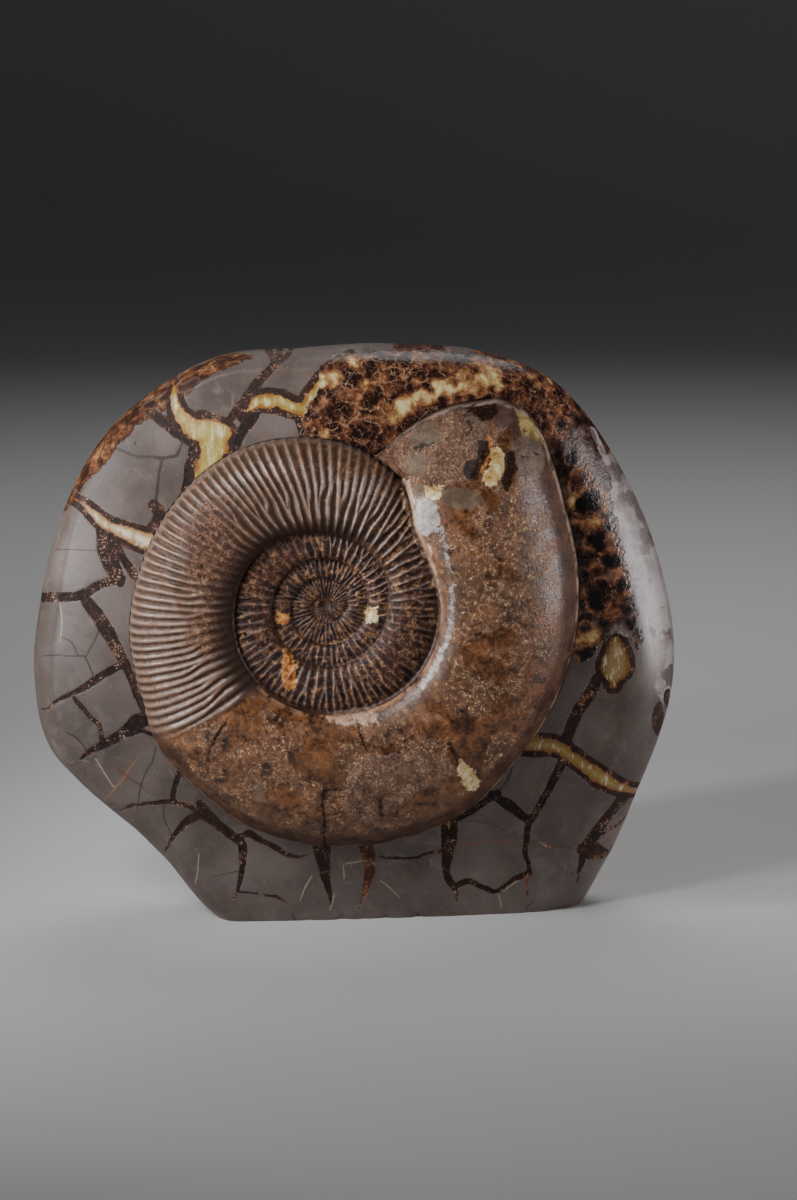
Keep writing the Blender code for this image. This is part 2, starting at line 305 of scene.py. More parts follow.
# Brown veins: (tone, pale middle, rows). Tone is 0 nearly black, 1 orange brown.
BROWN_VEINS = [
    (0.15, 0, (196,440,9, 194,452,10, 191,466,11, 188,481,10, 185,495,7)),
    (0.3, 0, (146,408,7, 155,415,10, 165,423,11, 178,433,11, 192,441,11)),
    (0.5, 0, (146,408,6, 158,402,7, 170,395,7, 184,388,6, 197,382,6)),
    (0.15, 0, (230,460,9, 235,446,10, 241,434,11, 249,423,11, 258,412,8)),
    (0.45, 0, (280,349,6, 278,358,8, 271,369,9, 260,380,9, 250,393,9, 240,407,9, 228,422,8)),
    (0.4, 0, (266,349,3, 272,357,5, 277,364,6)),
    (0.5, 0, (292,350,3, 287,356,4, 280,362,5)),
    (0.1, 0, (296,416,6, 300,426,7, 304,437,9)),
    (0.3, 1, (103,524,14, 105,535,17, 106,548,18, 110,561,17, 117,575,14, 121,583,9)),
    (0.3, 0, (110,531,5, 117,546,7, 123,558,8, 130,568,9, 136,578,9)),
    (0.2, 1, (122,578,9, 112,581,9, 104,583,9, 95,588,10, 84,594,10, 70,597,9, 57,597,9,
        44,597,8, 37,597,7)),
    (0.35, 1, (84,595,9, 89,604,12, 96,613,13, 105,627,14, 114,643,13, 121,656,11, 127,668,10,
        132,680,8, 138,697,7, 143,710,5)),
    (0.3, 0, (124,664,9, 117,667,8, 108,672,8, 95,680,8, 85,687,7, 72,694,5, 60,699,4, 52,705,3,
        46,709,2, 40,709,1)),
    (0.3, 1, (72,694,3, 78,703,5, 85,711,5, 93,719,5, 99,724,5, 101,731,5, 103,742,5)),
    (0.15, 0, (156,719,12, 147,719,15, 138,722,17, 129,729,14, 119,736,11, 108,742,10, 97,748,8,
        88,753,5, 82,758,3, 78,763,1)),
    (0.2, 0, (160,738,3, 152,735,4, 142,731,4, 132,734,4)),
    (0.3, 1, (180,769,7, 177,779,6, 174,790,6, 173,801,5)),
    (0.3, 1, (118,811,1, 126,808,2, 136,805,3, 150,803,4, 168,802,5, 183,804,5, 194,808,5,
        203,813,6)),
    (0.45, 0, (203,812,12, 195,817,10, 187,821,8, 180,829,7, 173,837,4, 169,845,3, 165,853,2)),
    (0.35, 0, (201,803,8, 205,813,15, 213,820,12, 222,828,10, 231,835,10, 240,841,9)),
    (0.2, 1, (239,838,9, 243,848,9, 243,859,7, 241,875,6, 239,886,4, 237,892,3, 233,901,1)),
    (0.25, 0, (238,892,2, 250,893,2, 262,895,2, 276,897,3, 288,905,1)),
    (0.4, 1, (243,836,6, 249,833,8, 256,837,7, 266,842,6, 277,848,6, 286,854,5, 300,857,3,
        313,853,1)),
    (0.35, 0, (322,838,18, 322,848,18, 323,858,15, 325,868,12, 326,878,10, 328,888,7, 330,897,4,
        331,905,1)),
    (0.65, 0, (364,840,16, 367,850,15, 369,861,13, 370,870,11, 368,880,9, 366,888,7, 363,896,4,
        360,904,2, 357,912,1)),
    (0.35, 0, (380,857,2, 392,858,3, 406,858,3, 416,858,3, 424,854,3, 433,852,3, 442,852,3)),
    (0.35, 0, (449,816,17, 449,826,18, 449,838,17, 448,850,14, 447,861,11, 446,871,8, 449,880,8,
        455,888,7)),
    (0.2, 0, (455,886,5, 457,895,3, 459,907,1)),
    (0.25, 0, (454,889,6, 461,883,7, 469,881,7, 477,885,6, 486,889,6, 495,892,5, 503,887,5,
        512,881,5, 520,877,6, 528,873,6)),
    (0.2, 0, (529,819,9, 527,831,7, 526,842,6, 525,855,5, 528,863,5, 530,874,5)),
    (0.7, 0, (528,874,5, 527,882,3, 527,892,2, 526,901,1)),
    (0.1, 0, (459,818,8, 467,813,8, 478,806,8, 488,799,8, 497,793,8)),
    (0.15, 0, (491,794,8, 499,799,9, 507,804,12, 515,810,11, 523,817,9, 529,820,9)),
    (0.2, 1, (530,821,8, 538,809,8, 544,797,8, 550,786,9, 556,775,9, 562,763,9)),
    (0.4, 0, (598,678,11, 593,688,12, 587,698,13, 580,708,13, 575,718,13, 570,729,12, 566,740,12)),
    (0.3, 1, (624,797,11, 616,806,11, 608,816,11, 600,827,12, 592,838,13, 586,848,13, 583,857,8,
        581,866,6, 578,876,4, 576,885,1)),
    (0.6, 0, (583,849,14, 590,850,17, 598,850,14, 604,852,8)),
    (0.5, 0, (584,857,4, 595,858,5, 605,856,4, 613,848,4, 620,838,3)),
    (0.3, 0, (597,839,3, 606,832,3, 616,826,4, 624,818,4, 631,810,3)),
    (0.3, 0, (600,846,2, 602,851,4, 608,850,4, 613,844,2)),
    (0.5, 0, (659,704,6, 658,711,12, 658,719,14, 658,727,11, 657,734,4)),
    (0.3, 0, (668,691,6, 667,697,8, 669,706,5, 668,715,3)),
    (0.45, 0, (154,505,12, 160,513,13, 157,521,9, 151,527,7)),
    (0.55, 0, (582,398,8, 592,410,12, 600,424,13, 606,440,10, 609,452,5)),
]

# Veins with a calcite filling: (filling tone, lining in pixels, rows). Tone is 0 lemon,
# 1 white pink, below 0 amber.
CALCITE_VEINS = [
    (0.1, 9, (203,422,24, 211,433,44, 213,446,46, 211,456,42, 205,468,36, 198,480,28)),
    (0.25, 5, (173,378,10, 174,390,17, 175,402,21, 179,413,24, 189,424,28, 204,431,34, 222,432,30)),
    (0.2, 6, (243,418,10, 250,409,18, 260,401,25, 275,401,26, 290,406,25, 303,409,24, 313,398,26,
        325,383,27, 338,372,26, 350,362,20)),
    (0.7, 5, (66,494,10, 73,498,13, 83,504,15, 93,513,18, 103,522,21, 116,529,23, 130,535,26,
        146,541,28, 158,545,28)),
    (-0.45, 5, (520,744,25, 533,745,26, 547,745,25, 560,748,24, 571,756,23, 583,765,23,
        596,774,25, 609,782,24, 622,788,20, 634,790,18, 645,787,17, 655,782,15)),
    (-0.8, 6, (616,642,26, 616,654,37, 615,666,43, 614,676,36, 613,684,22)),
    (0.35, 2, (449,818,9, 449,830,8, 448,842,5)),
]

# Hairlines: (tone, rows). 0 dark brown, 0.5 orange, 1 cream.
HAIRLINES = [
    (0, (104,450,3, 112,447,3, 120,450,3, 130,454,3, 139,457,3, 150,457,3, 162,458,3, 171,457,3,
        178,454,3, 181,445,2, 186,438,2)),
    (0, (162,459,3, 159,475,3, 157,492,3, 155,506,2)),
    (0, (55,549,1, 80,550,1.5, 100,551,1)),
    (0, (42,656,1.5, 58,655,2, 72,656,2, 85,656,2, 91,647,2, 96,637,2, 99,629,2)),
    (0, (85,657,2, 90,668,2, 95,680,2)),
    (0, (62,638,1.5, 70,641,2, 76,650,2, 77,655,1.5)),
    (1, (60,603,1.2, 62,620,1.2, 60,642,1)),
    (0, (87,752,2, 82,743,2, 75,737,2, 66,732,1)),
    (0.6, (139,757,1.5, 130,768,2, 122,780,2, 112,792,2, 104,801,1)),
    (1, (96,759,1.5, 102,769,1.5, 108,779,1.5, 115,789,1)),
    (0.2, (110,764,1.5, 122,772,2, 131,779,2, 141,786,1.5, 151,796,1)),
    (0, (156,748,1.5, 152,762,1.5, 146,772,1.5, 141,785,1.5, 137,809,1)),
    (0, (179,774,3, 188,779,2.5, 198,786,1.5)),
    (0, (164,804,1.5, 163,815,1.5, 168,827,1.5, 171,836,1)),
    (0.1, (211,877,1, 225,874,1.3, 241,870,1.5)),
    (1, (199,853,1, 198,868,1.5, 195,884,1)),
    (1, (312,876,1, 305,888,1.6, 300,901,1)),
    (1, (335,893,1, 330,910,1.5)),
    (1, (341,864,1, 352,863,1.3, 362,861,1)),
    (0.9, (343,864,1, 344,878,1.5)),
    (0.5, (458,846,1, 470,844,1.5, 482,842,1.5, 495,841,1, 512,840,1, 526,841,2)),
    (0.15, (526,842,2, 540,841,2.5, 549,845,2.5, 560,847,2.5, 572,848,1.5)),
    (1, (540,843,1, 545,846,1.8, 550,848,1)),
    (0.1, (458,822,1, 475,821,1.2, 492,825,1.2, 505,831,1)),
    (0, (512,766,3, 509,777,3, 503,786,2, 496,794,2)),
    (1, (497,892,2, 500,899,1.5, 501,907,1)),
    (0.9, (497,893,2, 507,888,2, 519,880,2, 528,874,2)),
    (0, (635,607,2, 643,612,2, 651,615,1.5)),
    (0.6, (599,843,2, 610,834,2, 620,827,2, 627,819,2)),
    (1, (600,815,1.6, 606,817,1.6, 613,815,1.6)),
    (1, (381,881,1, 391,889,1, 400,898,1)),
    (0, (525,910,1, 529,904,1.5, 534,902,1)),
    (0, (292,914,1.5, 295,920,3, 297,926,3)),
    (0.4, (640,420,1, 648,470,1)),
]

# Zones of the face, as outlines: pixel x, pixel y. What lies under the fossil is hidden.
BOTRYOIDAL_ZONE = (
    301,452, 303,436, 301,424, 306,411, 313,400, 318,384, 320,366, 330,356, 350,351, 372,351,
    392,352, 398,330, 440,325, 446,350, 470,355, 480,325, 505,330, 540,345, 575,366, 602,392,
    620,420, 632,450, 618,452, 606,440, 592,428, 575,414, 562,412, 556,430, 530,440, 400,470)
BUBBLE_ZONE = (
    536,396, 552,398, 566,402, 580,412, 592,428, 599,448, 606,468, 610,490, 613,515, 621,540,
    627,562, 632,590, 638,615, 643,640, 640,652, 630,640, 616,634, 602,640, 594,655, 586,662,
    576,660, 560,650, 560,480, 536,440)
RIND_ZONE = (
    20,515, 30,480, 70,420, 120,370, 180,330, 262,330, 262,353, 224,369, 203,381, 188,390, 169,403,
    152,416, 135,428, 117,448, 107,460, 95,474, 84,487, 75,503, 61,515)

# Blobs: pixel x, pixel y, radius across, radius down, tilt in degrees.
DARK_BLOBS = (
    455,385,5,5,0, 470,378,5,5,0, 480,391,4,5,0, 446,398,4,3,0, 318,396,5,8,30, 352,380,8,6,0,
    372,366,8,6,0, 345,412,12,9,0, 372,398,9,12,20, 392,375,8,6,0, 362,430,12,8,0, 330,418,6,8,0,
    404,360,8,6,0, 420,375,7,5,0, 510,372,7,5,20, 532,384,7,4,30, 500,362,6,4,0, 556,398,7,4,35,
    590,505,12,13,0, 597,540,10,10,0, 612,560,11,9,20, 598,596,12,15,10, 585,628,5,5,0,
    588,655,12,7,0, 577,480,5,9,0, 607,528,6,5,0, 622,585,5,8,0, 573,455,6,8,20, 560,425,5,8,20,
    604,640,3,3,0, 616,634,3,4,0, 628,640,3,3,0, 622,650,3,3,0, 570,610,4,10,0, 586,470,3,6,0)
AMBER_BLOBS = (
    581,477,8,12,0, 594,516,7,6,20, 594,570,7,10,0, 612,598,12,12,0, 612,615,10,8,0, 595,643,8,8,0,
    612,545,8,7,0, 548,425,6,10,20, 600,500,4,6,0, 380,385,6,5,0, 340,398,7,5,0, 360,415,6,5,0,
    398,400,5,6,0, 520,368,10,5,20, 546,386,10,5,30)
YELLOW_BLOBS = (
    330,380,10,9,0, 352,363,8,6,0, 321,431,6,8,0, 392,416,14,11,0, 408,405,15,12,0, 427,398,16,9,0,
    446,388,15,11,0, 468,384,16,13,0, 488,378,13,10,0, 499,384,6,9,0, 587,524,14,4,0,
    586,637,13,7,-20, 574,500,5,6,0, 567,545,4,12,0)
GREY_BLOBS = (
    578,448,16,22,10, 619,640,18,18,0, 338,350,9,3,0, 374,347,22,4,0, 456,355,16,4,0,
    607,470,8,16,0, 570,572,5,18,0)


# ---- distances to those markings ---------------------------------------------------------

PIXEL = 0.693                     # one pixel on the face, in mm
# The pale shoulder is mottled calcite, partly a painted highlight.
MARBLED_AND_SHEEN = (-19.0, 50.0)           # directions that the pale shoulder spans
# How far out on the shoulder it starts, by direction: 0 at its inner edge, 1 at the rim.
MARBLE_AND_SHEEN_START = [(-25, 0.72), (-12, 0.58), (5, 0.35), (25, 0.10), (50, -0.10)]
ROUGH_EDGE = (54.0, 250.0)        # directions where the shoulder was left unpolished
NOWHERE = -20.0                   # depth inside a marking, in mm, far outside it
PATH_STEP = 3.0                   # pixels between the points of a smoothed path


def smooth_path(rows):
    """A denser line through given points; every column is carried along."""
    points = np.reshape(rows, (-1, 3)).astype(float)
    run = np.concatenate([[0], np.cumsum(np.hypot(*np.diff(points[:, :2], axis=0).T))])
    at = np.linspace(0, run[-1], max(3, int(run[-1] / PATH_STEP)))
    return np.stack([curve(list(zip(run, column)), at) for column in points.T], axis=1)


def near_path(x, z, path, reach):
    """The vertices within reach of a path, how far off each is, its width and its offset."""
    low, high = path[:, :2].min(0) - reach, path[:, :2].max(0) + reach
    picked = np.nonzero((x > low[0]) & (x < high[0]) & (z > low[1]) & (z < high[1]))[0]
    at = np.stack([x[picked], z[picked]], axis=1)
    best = np.full(len(picked), 1e6)
    width = np.zeros(len(picked))
    offset = np.zeros((len(picked), 2))
    for a, b in zip(path, path[1:]):
        along = b[:2] - a[:2]
        t = np.clip((at - a[:2]) @ along / max(along @ along, 1e-9), 0, 1)
        apart = at - (a[:2] + t[:, None] * along)
        far = np.hypot(*apart.T)
        closer = far < best
        best = np.where(closer, far, best)
        width = np.where(closer, a[2] + t * (b[2] - a[2]), width)
        offset = np.where(closer[:, None], apart, offset)
    return picked, best, width, offset


def landed_path(rows, surface):
    """The path on a surface, with half its width, all in mm."""
    path = smooth_path(rows)
    path[:, :2] = land(path[:, :2], surface)
    path[:, 2] *= PIXEL / 2
    return path


def inside_outline(x, z, rows, surface):
    """Signed distance to a closed outline, above 0 inside."""
    corners = land(np.reshape(rows, (-1, 2)), surface)
    best = np.full(len(x), 1e6)
    inside = np.zeros(len(x), bool)
    for (ax, az), (bx, bz) in zip(corners, np.roll(corners, -1, axis=0)):
        dx, dz = bx - ax, bz - az
        t = np.clip(((x - ax) * dx + (z - az) * dz) / (dx * dx + dz * dz), 0, 1)
        best = np.minimum(best, np.hypot(x - ax - t * dx, z - az - t * dz))
        crosses = (az > z) != (bz > z)
        at = ax + (z - az) * dx / (dz if abs(dz) > 1e-9 else 1e-9)
        inside ^= crosses & (x < at)
    return np.where(inside, best, -best)


def inside_blobs(x, z, rows):
    """The greatest depth inside any of these ellipses, in mm."""
    blobs = np.reshape(rows, (-1, 5))
    depth = np.full(len(x), NOWHERE)
    for (cx, cz), (_, _, across, down, tilt) in zip(land(blobs[:, :2], front_y), blobs):
        a = math.radians(tilt)
        dx, dz = x - cx, z - cz
        u = (dx * math.cos(a) - dz * math.sin(a)) / (across * PIXEL)
        v = (dx * math.sin(a) + dz * math.cos(a)) / (down * PIXEL)
        reach = np.sqrt(u * u + v * v)
        depth = np.maximum(depth, (1 - reach) * min(across, down) * PIXEL)
    return depth


# ---- meshes ------------------------------------------------------------------------------

def make_object(name, points, faces, attributes, vectors=()):
    """A mesh from mm points, with numbers for its material on each vertex."""
    mesh = bpy.data.meshes.new(name)
    mesh.from_pydata((np.asarray(points) * MM).tolist(), [], faces)
    for key, values in attributes.items():
        layer = mesh.attributes.new(key, "FLOAT", "POINT")
        layer.data.foreach_set("value", np.asarray(values, np.float32))
    for key, values in dict(vectors).items():
        layer = mesh.attributes.new(key, "FLOAT_VECTOR", "POINT")
        layer.data.foreach_set("vector", np.asarray(values, np.float32).ravel())
    mesh.validate()
    mesh.update()
    made = bpy.data.objects.new(name, mesh)
    bpy.context.scene.collection.objects.link(made)
    return made


def ring_quads(rows, count):
    """Quads between consecutive closed rings of count vertices, numbered row by row."""
    faces = []
    for row in range(rows - 1):
        a, b = row * count, (row + 1) * count
        for k in range(count):
            after = (k + 1) % count
            faces.append((a + k, a + after, b + after, b + k))
    return faces


# ---- the nodule --------------------------------------------------------------------------

AROUND = 840                      # vertices round the stone
FACE_ROWS, SHOULDER_ROWS, BACK_ROWS = 54, 14, 30
POCKET_SHARES = (0.45, 0.75, 0.9, 0.97)
BACK_CRACK_SEEDS = 15
BACK_CRACK_BOX = np.array([-215, 10, 5]), np.array([215, 75, 400])
BACK_RANDOM_SEED = 11
BACK_CLOSES = 0.985               # share of a quarter turn by which the back is nearly shut
STONE_MIDDLE, STONE_REACH = np.array([0.0, 15.0, 205.0]), np.array([230.0, 75.0, 205.0])
CHIP_HEIGHT, CHIP_DEPTH = 5.0, 5.0  # of the chips along the base's front edge
VEIN_REACH, CALCITE_REACH, HAIR_REACH = 14, 20, 6
LINING_TONE = 0.45
RIND_SLANTS_FROM = -130           # x


def nodule_points():
    """Rings from the bottom of the pocket, over the face and shoulder, to the back."""
    angles = np.arange(AROUND) * TURN / AROUND
    a = np.radians(angles)
    edge = coil_edge(np.where(angles < COIL_END - TURN, angles + TURN, angles)) + FIT_GAP
    rim = closed_curve(RIM, angles)
    start = rim - closed_curve(SHOULDER, angles)
    cos, sin = np.cos(a), np.sin(a)
    rings, rind = [], []

    def add(radius, y, roughness):
        x, z = COIL_X + radius * cos, COIL_Z + radius * sin
        rings.append(np.stack([x, y(x, z) if callable(y) else y + 0 * x, z], axis=1))
        rind.append(np.full(AROUND, roughness))

    for share in POCKET_SHARES:
        sink = (BURIED_DEPTH + FIT_GAP) * bowl(share)
        add(edge * share, lambda x, z, sink=sink: face_y(x, z) + sink, 0.0)
    for t in np.linspace(0, 1, FACE_ROWS, endpoint=False):
        add(edge + (start - edge) * t, face_y, 0.0)
    start_y = face_y(COIL_X + start * cos, COIL_Z + start * sin)
    power = 2 / closed_curve(SHOULDER_FULLNESS, angles)
    for t in np.linspace(0, math.pi / 2, SHOULDER_ROWS):
        depth = RIM_Y - (RIM_Y - start_y) * max(math.cos(t), 0.0) ** power
        add(start + (rim - start) * math.sin(t) ** power, depth, 0.0)
    rim_x, rim_z = COIL_X + rim * cos, COIL_Z + rim * sin
    round_in, round_out = BACK_FULLNESS
    for t in np.linspace(0, 1, BACK_ROWS + 1)[1:]:
        share = math.cos(t * math.pi / 2 * BACK_CLOSES) ** 0.8
        y = RIM_Y + BACK_DEPTH * (1 - share ** round_in) ** (1 / round_out)
        x = BACK_MIDDLE_X + (rim_x - BACK_MIDDLE_X) * share
        z = BACK_MIDDLE_Z + (rim_z - BACK_MIDDLE_Z) * share
        rings.append(np.stack([x, y + 0 * x, z], axis=1))
        rind.append(np.full(AROUND, float(smoothstep(0.0, 0.16, t))))
    return np.concatenate(rings), np.concatenate(rind), len(rings)


def paint_veins(x, z):
    """Depth inside the veins, inside their filling, and the tones of both."""
    vein, tone = np.full(len(x), NOWHERE), np.zeros(len(x))
    fill, fill_tone = np.full(len(x), NOWHERE), np.zeros(len(x))
    middle = np.full(len(x), -NOWHERE)

    def keep_deeper(depths, tones, picked, depth, shade):
        deeper = depth > depths[picked]
        depths[picked] = np.where(deeper, depth, depths[picked])
        tones[picked] = np.where(deeper, shade, tones[picked])

    for shade, pale_middle, rows in BROWN_VEINS:
        picked, far, half, _ = near_path(x, z, landed_path(rows, front_y), VEIN_REACH)
        keep_deeper(vein, tone, picked, half - far, shade)
        if pale_middle:
            middle[picked] = np.minimum(middle[picked], far)
    for shade, lining, rows in CALCITE_VEINS:
        picked, far, half, _ = near_path(x, z, landed_path(rows, front_y), CALCITE_REACH)
        depth = half - far
        # Outside it the veins close by keep their own tone.
        keep_deeper(vein, tone, picked, depth, np.where(depth > 0, LINING_TONE, tone[picked]))
        keep_deeper(fill, fill_tone, picked, depth - lining * PIXEL, shade)
    return {"vein": vein, "vein_tone": tone, "fill": fill, "fill_tone": fill_tone, "middle": middle}


def paint_hairlines(x, z):
    """The plain distance to the nearest hairline, its half width and tone, and the offset."""
    far, half, tone = np.full(len(x), -NOWHERE), np.zeros(len(x)), np.zeros(len(x))
    offset = np.zeros((len(x), 3))
    for shade, rows in HAIRLINES:
        picked, apart, width, away = near_path(x, z, landed_path(rows, front_y), HAIR_REACH)
        closer = apart < far[picked]
        picked = picked[closer]
        far[picked], half[picked], tone[picked] = apart[closer], width[closer], shade
        offset[picked] = 0.0
        offset[picked, ::2] = away[closer]
    return {"hair_far": far, "hair_half": half, "hair_tone": tone}, offset


def side_by_side(points, size, seeds, octaves=1):
    """Noise for each of the seeds, one column for each."""
    return np.stack([noise(points, size, seed, octaves) for seed in seeds], axis=1)


def back_cracks(points):
    """Depth inside the cracks that cut the back, where cells of stone meet."""
    spread = np.random.default_rng(BACK_RANDOM_SEED)
    low, high = BACK_CRACK_BOX
    seeds = low + spread.random((BACK_CRACK_SEEDS, 3)) * (high - low)
    warped = points + 9 * side_by_side(points, 60, (21, 22, 23), 2)
    warped += 1.2 * side_by_side(points, 9, (24, 25, 26))
    away = np.sqrt(((warped[:, None] - seeds[None]) ** 2).sum(2))
    away.sort(axis=1)
    half = 1.1 + 3.4 * np.clip(noise(points, 70, 31, 2) + 0.25, 0, 1)
    return half - (away[:, 1] - away[:, 0]) * 0.6


def paint_zones(points, x, z):
    """Where the zones of coloured calcite and the brown rind lie, their lights and darks."""
    bx, bz = x + 2.6 * noise(points, 11, 43, 2), z + 2.6 * noise(points, 11, 44, 2)
    looped = inside_outline(x, z, BOTRYOIDAL_ZONE, front_y)
    blistered = inside_outline(x, z, BUBBLE_ZONE, front_y)
    # The rind's end slants back across the top of the stone.
    slant = 0.9 * np.clip(points[:, 1] + 18, 0, 60) + 7 * noise(points, 16, 45, 2)
    crust = inside_outline(x + slant * (points[:, 0] > RIND_SLANTS_FROM), z, RIND_ZONE, front_y)
    dark_depth = inside_blobs(bx, bz, DARK_BLOBS)
    dark = smoothstep(-1.2, 2.2, dark_depth)
    rings = smoothstep(-5.0, -1.5, dark_depth) * (1 - dark)
    soft = smoothstep(-3.5, 4.5, dark_depth + 1.5 * noise(points, 8, 46, 2))
    amber = smoothstep(-1.5, 2.5, inside_blobs(bx, bz, AMBER_BLOBS))
    yellow = smoothstep(-2.0, 2.5, inside_blobs(bx, bz, YELLOW_BLOBS))
    grey = smoothstep(-2.5, 3.0, inside_blobs(bx, bz, GREY_BLOBS))
    calm = smoothstep(-3.0, 3.0, blistered - looped)
    warm = smoothstep(-3.0, 3.0, looped - blistered)
    loop_tint = 0.36 * yellow + 0.05 * amber - 0.07 - 0.14 * dark + 0.03 * rings
    blister_tint = 0.32 * yellow + 0.06 * amber - 0.01 - 0.24 * soft + 0.05 * rings
    warmth = np.maximum(0.9 * warm, 0.22) + 0.8 * rings + amber + yellow - 1.2 * grey
    return {
        "zone": np.maximum(looped, blistered), "crust": crust, "calm": calm,
        "tint": (1 - calm) * loop_tint + (calm * blister_tint + 0.14 * grey),
        "blob": np.clip(dark_depth, -9, 9), "warmth": np.clip(warmth, 0, 1),
    }


def paint_shoulder(points):
    """How far out on the shoulder, which parts of it are pale, partly as a painted highlight, and
    which are left unpolished.
    """
    angle, radius = polar(points[:, 0], points[:, 2])
    out = np.clip(1 + (radius - closed_curve(RIM, angle)) / closed_curve(SHOULDER, angle), 0, 1)
    turned = (angle + 90) % TURN - 90
    from_marbled_and_sheen = np.maximum(MARBLED_AND_SHEEN[0] - turned, turned - MARBLED_AND_SHEEN[1])
    from_rough = np.maximum(ROUGH_EDGE[0] - angle, angle - ROUGH_EDGE[1])
    pale = smoothstep(-0.12, 0.12, out - curve(MARBLE_AND_SHEEN_START, turned))
    return {
        "out": out, "marble_and_sheen": smoothstep(3, -3, from_marbled_and_sheen) * pale,
        "edge": smoothstep(10, -10, from_rough) * smoothstep(0.0, 0.16, out),
    }


def nodule_marks(points, rind):
    """The numbers that the stone's material reads, and the offset to the nearest hairline."""
    x, z = points[:, 0], points[:, 2]
    warp_x, warp_z = side_by_side(points, 7, (41, 42), 2).T
    hair, offset = paint_hairlines(x + 0.3 * warp_x, z + 0.3 * warp_z)
    marks = {
        "rind": rind, "cloud": 0.5 + 0.5 * noise(points, 46, 71, 3),
        "thread": np.abs(noise(points, 58, 72, 3)) + 0.06 * (noise(points, 34, 73) < 0.05),
        **paint_veins(x + 0.7 * warp_x, z + 0.7 * warp_z), **hair,
        **paint_zones(points, x + 1.4 * warp_x, z + 1.4 * warp_z), **paint_shoulder(points),
    }
    # The back has cracks of its own and none of the face's markings.
    back = smoothstep(RIM_Y + 4, RIM_Y + 30, points[:, 1])
    cracks = np.where(back > 0, back_cracks(points), NOWHERE)
    crack_fill = np.where(back > 0, cracks - 2.2, NOWHERE)
    marks["vein"] = np.maximum(marks["vein"] - 6 * back, cracks - 3 * (1 - back))
    marks["fill"] = np.maximum(marks["fill"] - 8 * back, crack_fill)
    for key in ("zone", "crust"):
        marks[key] -= 30 * back
    marks["hair_far"] += 5 * back
    return marks, offset


def weathered(points, rind, vein):
    """Lumps on the rind, a faint wave and sunken veins on the polish, chips at the base."""
    front = points[:, 1] < 0
    outward = (points - STONE_MIDDLE) / STONE_REACH ** 2
    outward /= np.linalg.norm(outward, axis=1)[:, None]
    lumps = 2.4 * noise(points, 55, 1, 2) + 0.9 * noise(points, 14, 2, 2)
    raised = rind * (lumps + 0.8 * smoothstep(-1.0, 1.5, vein))
    polished = (1 - rind) * 0.22 * noise(points, 45, 5)
    polished -= (1 - rind) * 0.18 * smoothstep(-0.3, 0.8, vein) * front
    moved = points + outward * (raised + polished)[:, None]
    along = np.stack([points[:, 0], 0 * points[:, 0], 0 * points[:, 0]], axis=1)
    chips = np.clip(noise(along, 11, 9, 2) - 0.12, 0, 1)
    low = np.clip(1 - moved[:, 2] / (CHIP_HEIGHT * (0.4 + chips)), 0, 1) * (moved[:, 2] > -8)
    moved[:, 1] += np.where(front, CHIP_DEPTH * chips * low, 0.0)
    return moved


def build_nodule():
    points, rind, rows = nodule_points()
    marks, offset = nodule_marks(points, rind)
    points = weathered(points, rind, marks["vein"])
    faces = [face[::-1] for face in ring_quads(rows, AROUND)]
    pocket, back = len(points), len(points) + 1
    last_ring = (rows - 1) * AROUND
    for k in range(AROUND):
        after = (k + 1) % AROUND
        faces += [(after, k, pocket), (back, last_ring + after, last_ring + k)]
    pocket_bottom = [COIL_X, face_y(COIL_X, COIL_Z) + BURIED_DEPTH + FIT_GAP, COIL_Z]
    back_middle = [BACK_MIDDLE_X, RIM_Y + BACK_DEPTH, BACK_MIDDLE_Z]
    points = np.concatenate([points, [pocket_bottom, back_middle]])
    marks = {key: np.concatenate([values, values[[0, -1]]]) for key, values in marks.items()}
    offset = np.concatenate([offset, offset[[0, -1]]])
    nodule = make_object("nodule_stone", points, faces, marks, {"hair_offset": offset})
    saw_base(nodule)
    return nodule


def saw_base(piece):
    """Cuts the stone off flat at z = 0, as the CAD solid is."""
    bm = bmesh.new()
    bm.from_mesh(piece.data)
    bmesh.ops.bisect_plane(
        bm, geom=bm.verts[:] + bm.edges[:] + bm.faces[:], plane_co=(0, 0, 0),
        plane_no=(0, 0, 1), clear_inner=True)
    sawn = [v for v in bm.verts if abs(v.co.z) < 1e-6]
    bmesh.ops.remove_doubles(bm, verts=sawn, dist=0.00005)
    bmesh.ops.edgeloop_fill(bm, edges=[e for e in bm.edges if e.is_boundary])
    bmesh.ops.recalc_face_normals(bm, faces=bm.faces[:])
    bm.to_mesh(piece.data)
    bm.free()
    piece.data.shade_smooth()
    piece.data.set_sharp_from_angle(angle=math.radians(50))


# ---- the ammonite ------------------------------------------------------------------------

PER_TURN = 900                    # columns in one turn of the coil
COLUMN = TURN / PER_TURN
# From this spiral angle on, this many stations across the turn.
STATIONS = [(-1440, 6), (-1080, 10), (-630, 15), (-270, 22), (60, 46)]
BOWL_SHARES = (0.985, 0.95, 0.88, 0.75, 0.55, 0.3)
COIL_OPENS = (60.0, 72.0)         # the last turn's outer edge comes free over these angles
CRACK_REACH = 12

# Degrees from one primary rib to the next, by spiral angle.
PRIMARY_SPACING = [
    (-1440, 16), (-1080, 13), (-720, 10), (-360, 8.0), (-180, 7.4), (0, 6.2), (60, 5.6),
    (90, 5.3), (120, 4.8), (150, 4.5), (190, 4.5), (215, 5.0), (240, 6.0),
]
LAST_PRIMARY = 240.0
BRANCHES = (2, 1, 2, 2, 1)        # secondary ribs that each primary splits into
EVENING_ROUNDS = 400
# Degrees by which the ribs bend forwards on their way out, by spiral angle.
RIB_LEAN = [
    (0, 0), (60, 1), (90, 2), (110, 5), (130, 3), (160, 1), (185, 0), (200, -3), (225, -7),
]
FORK = (0.26, 0.50)               # where ribs fork, as a share of the whorl's width
RIBS_END = (227.0, 215.0)         # last rib at the inner and at the outer edge of the turn
RIB_HEIGHT = 1.5
SHARP_RIBS = (140.0, 190.0)       # narrow crests before this, broad ones after it


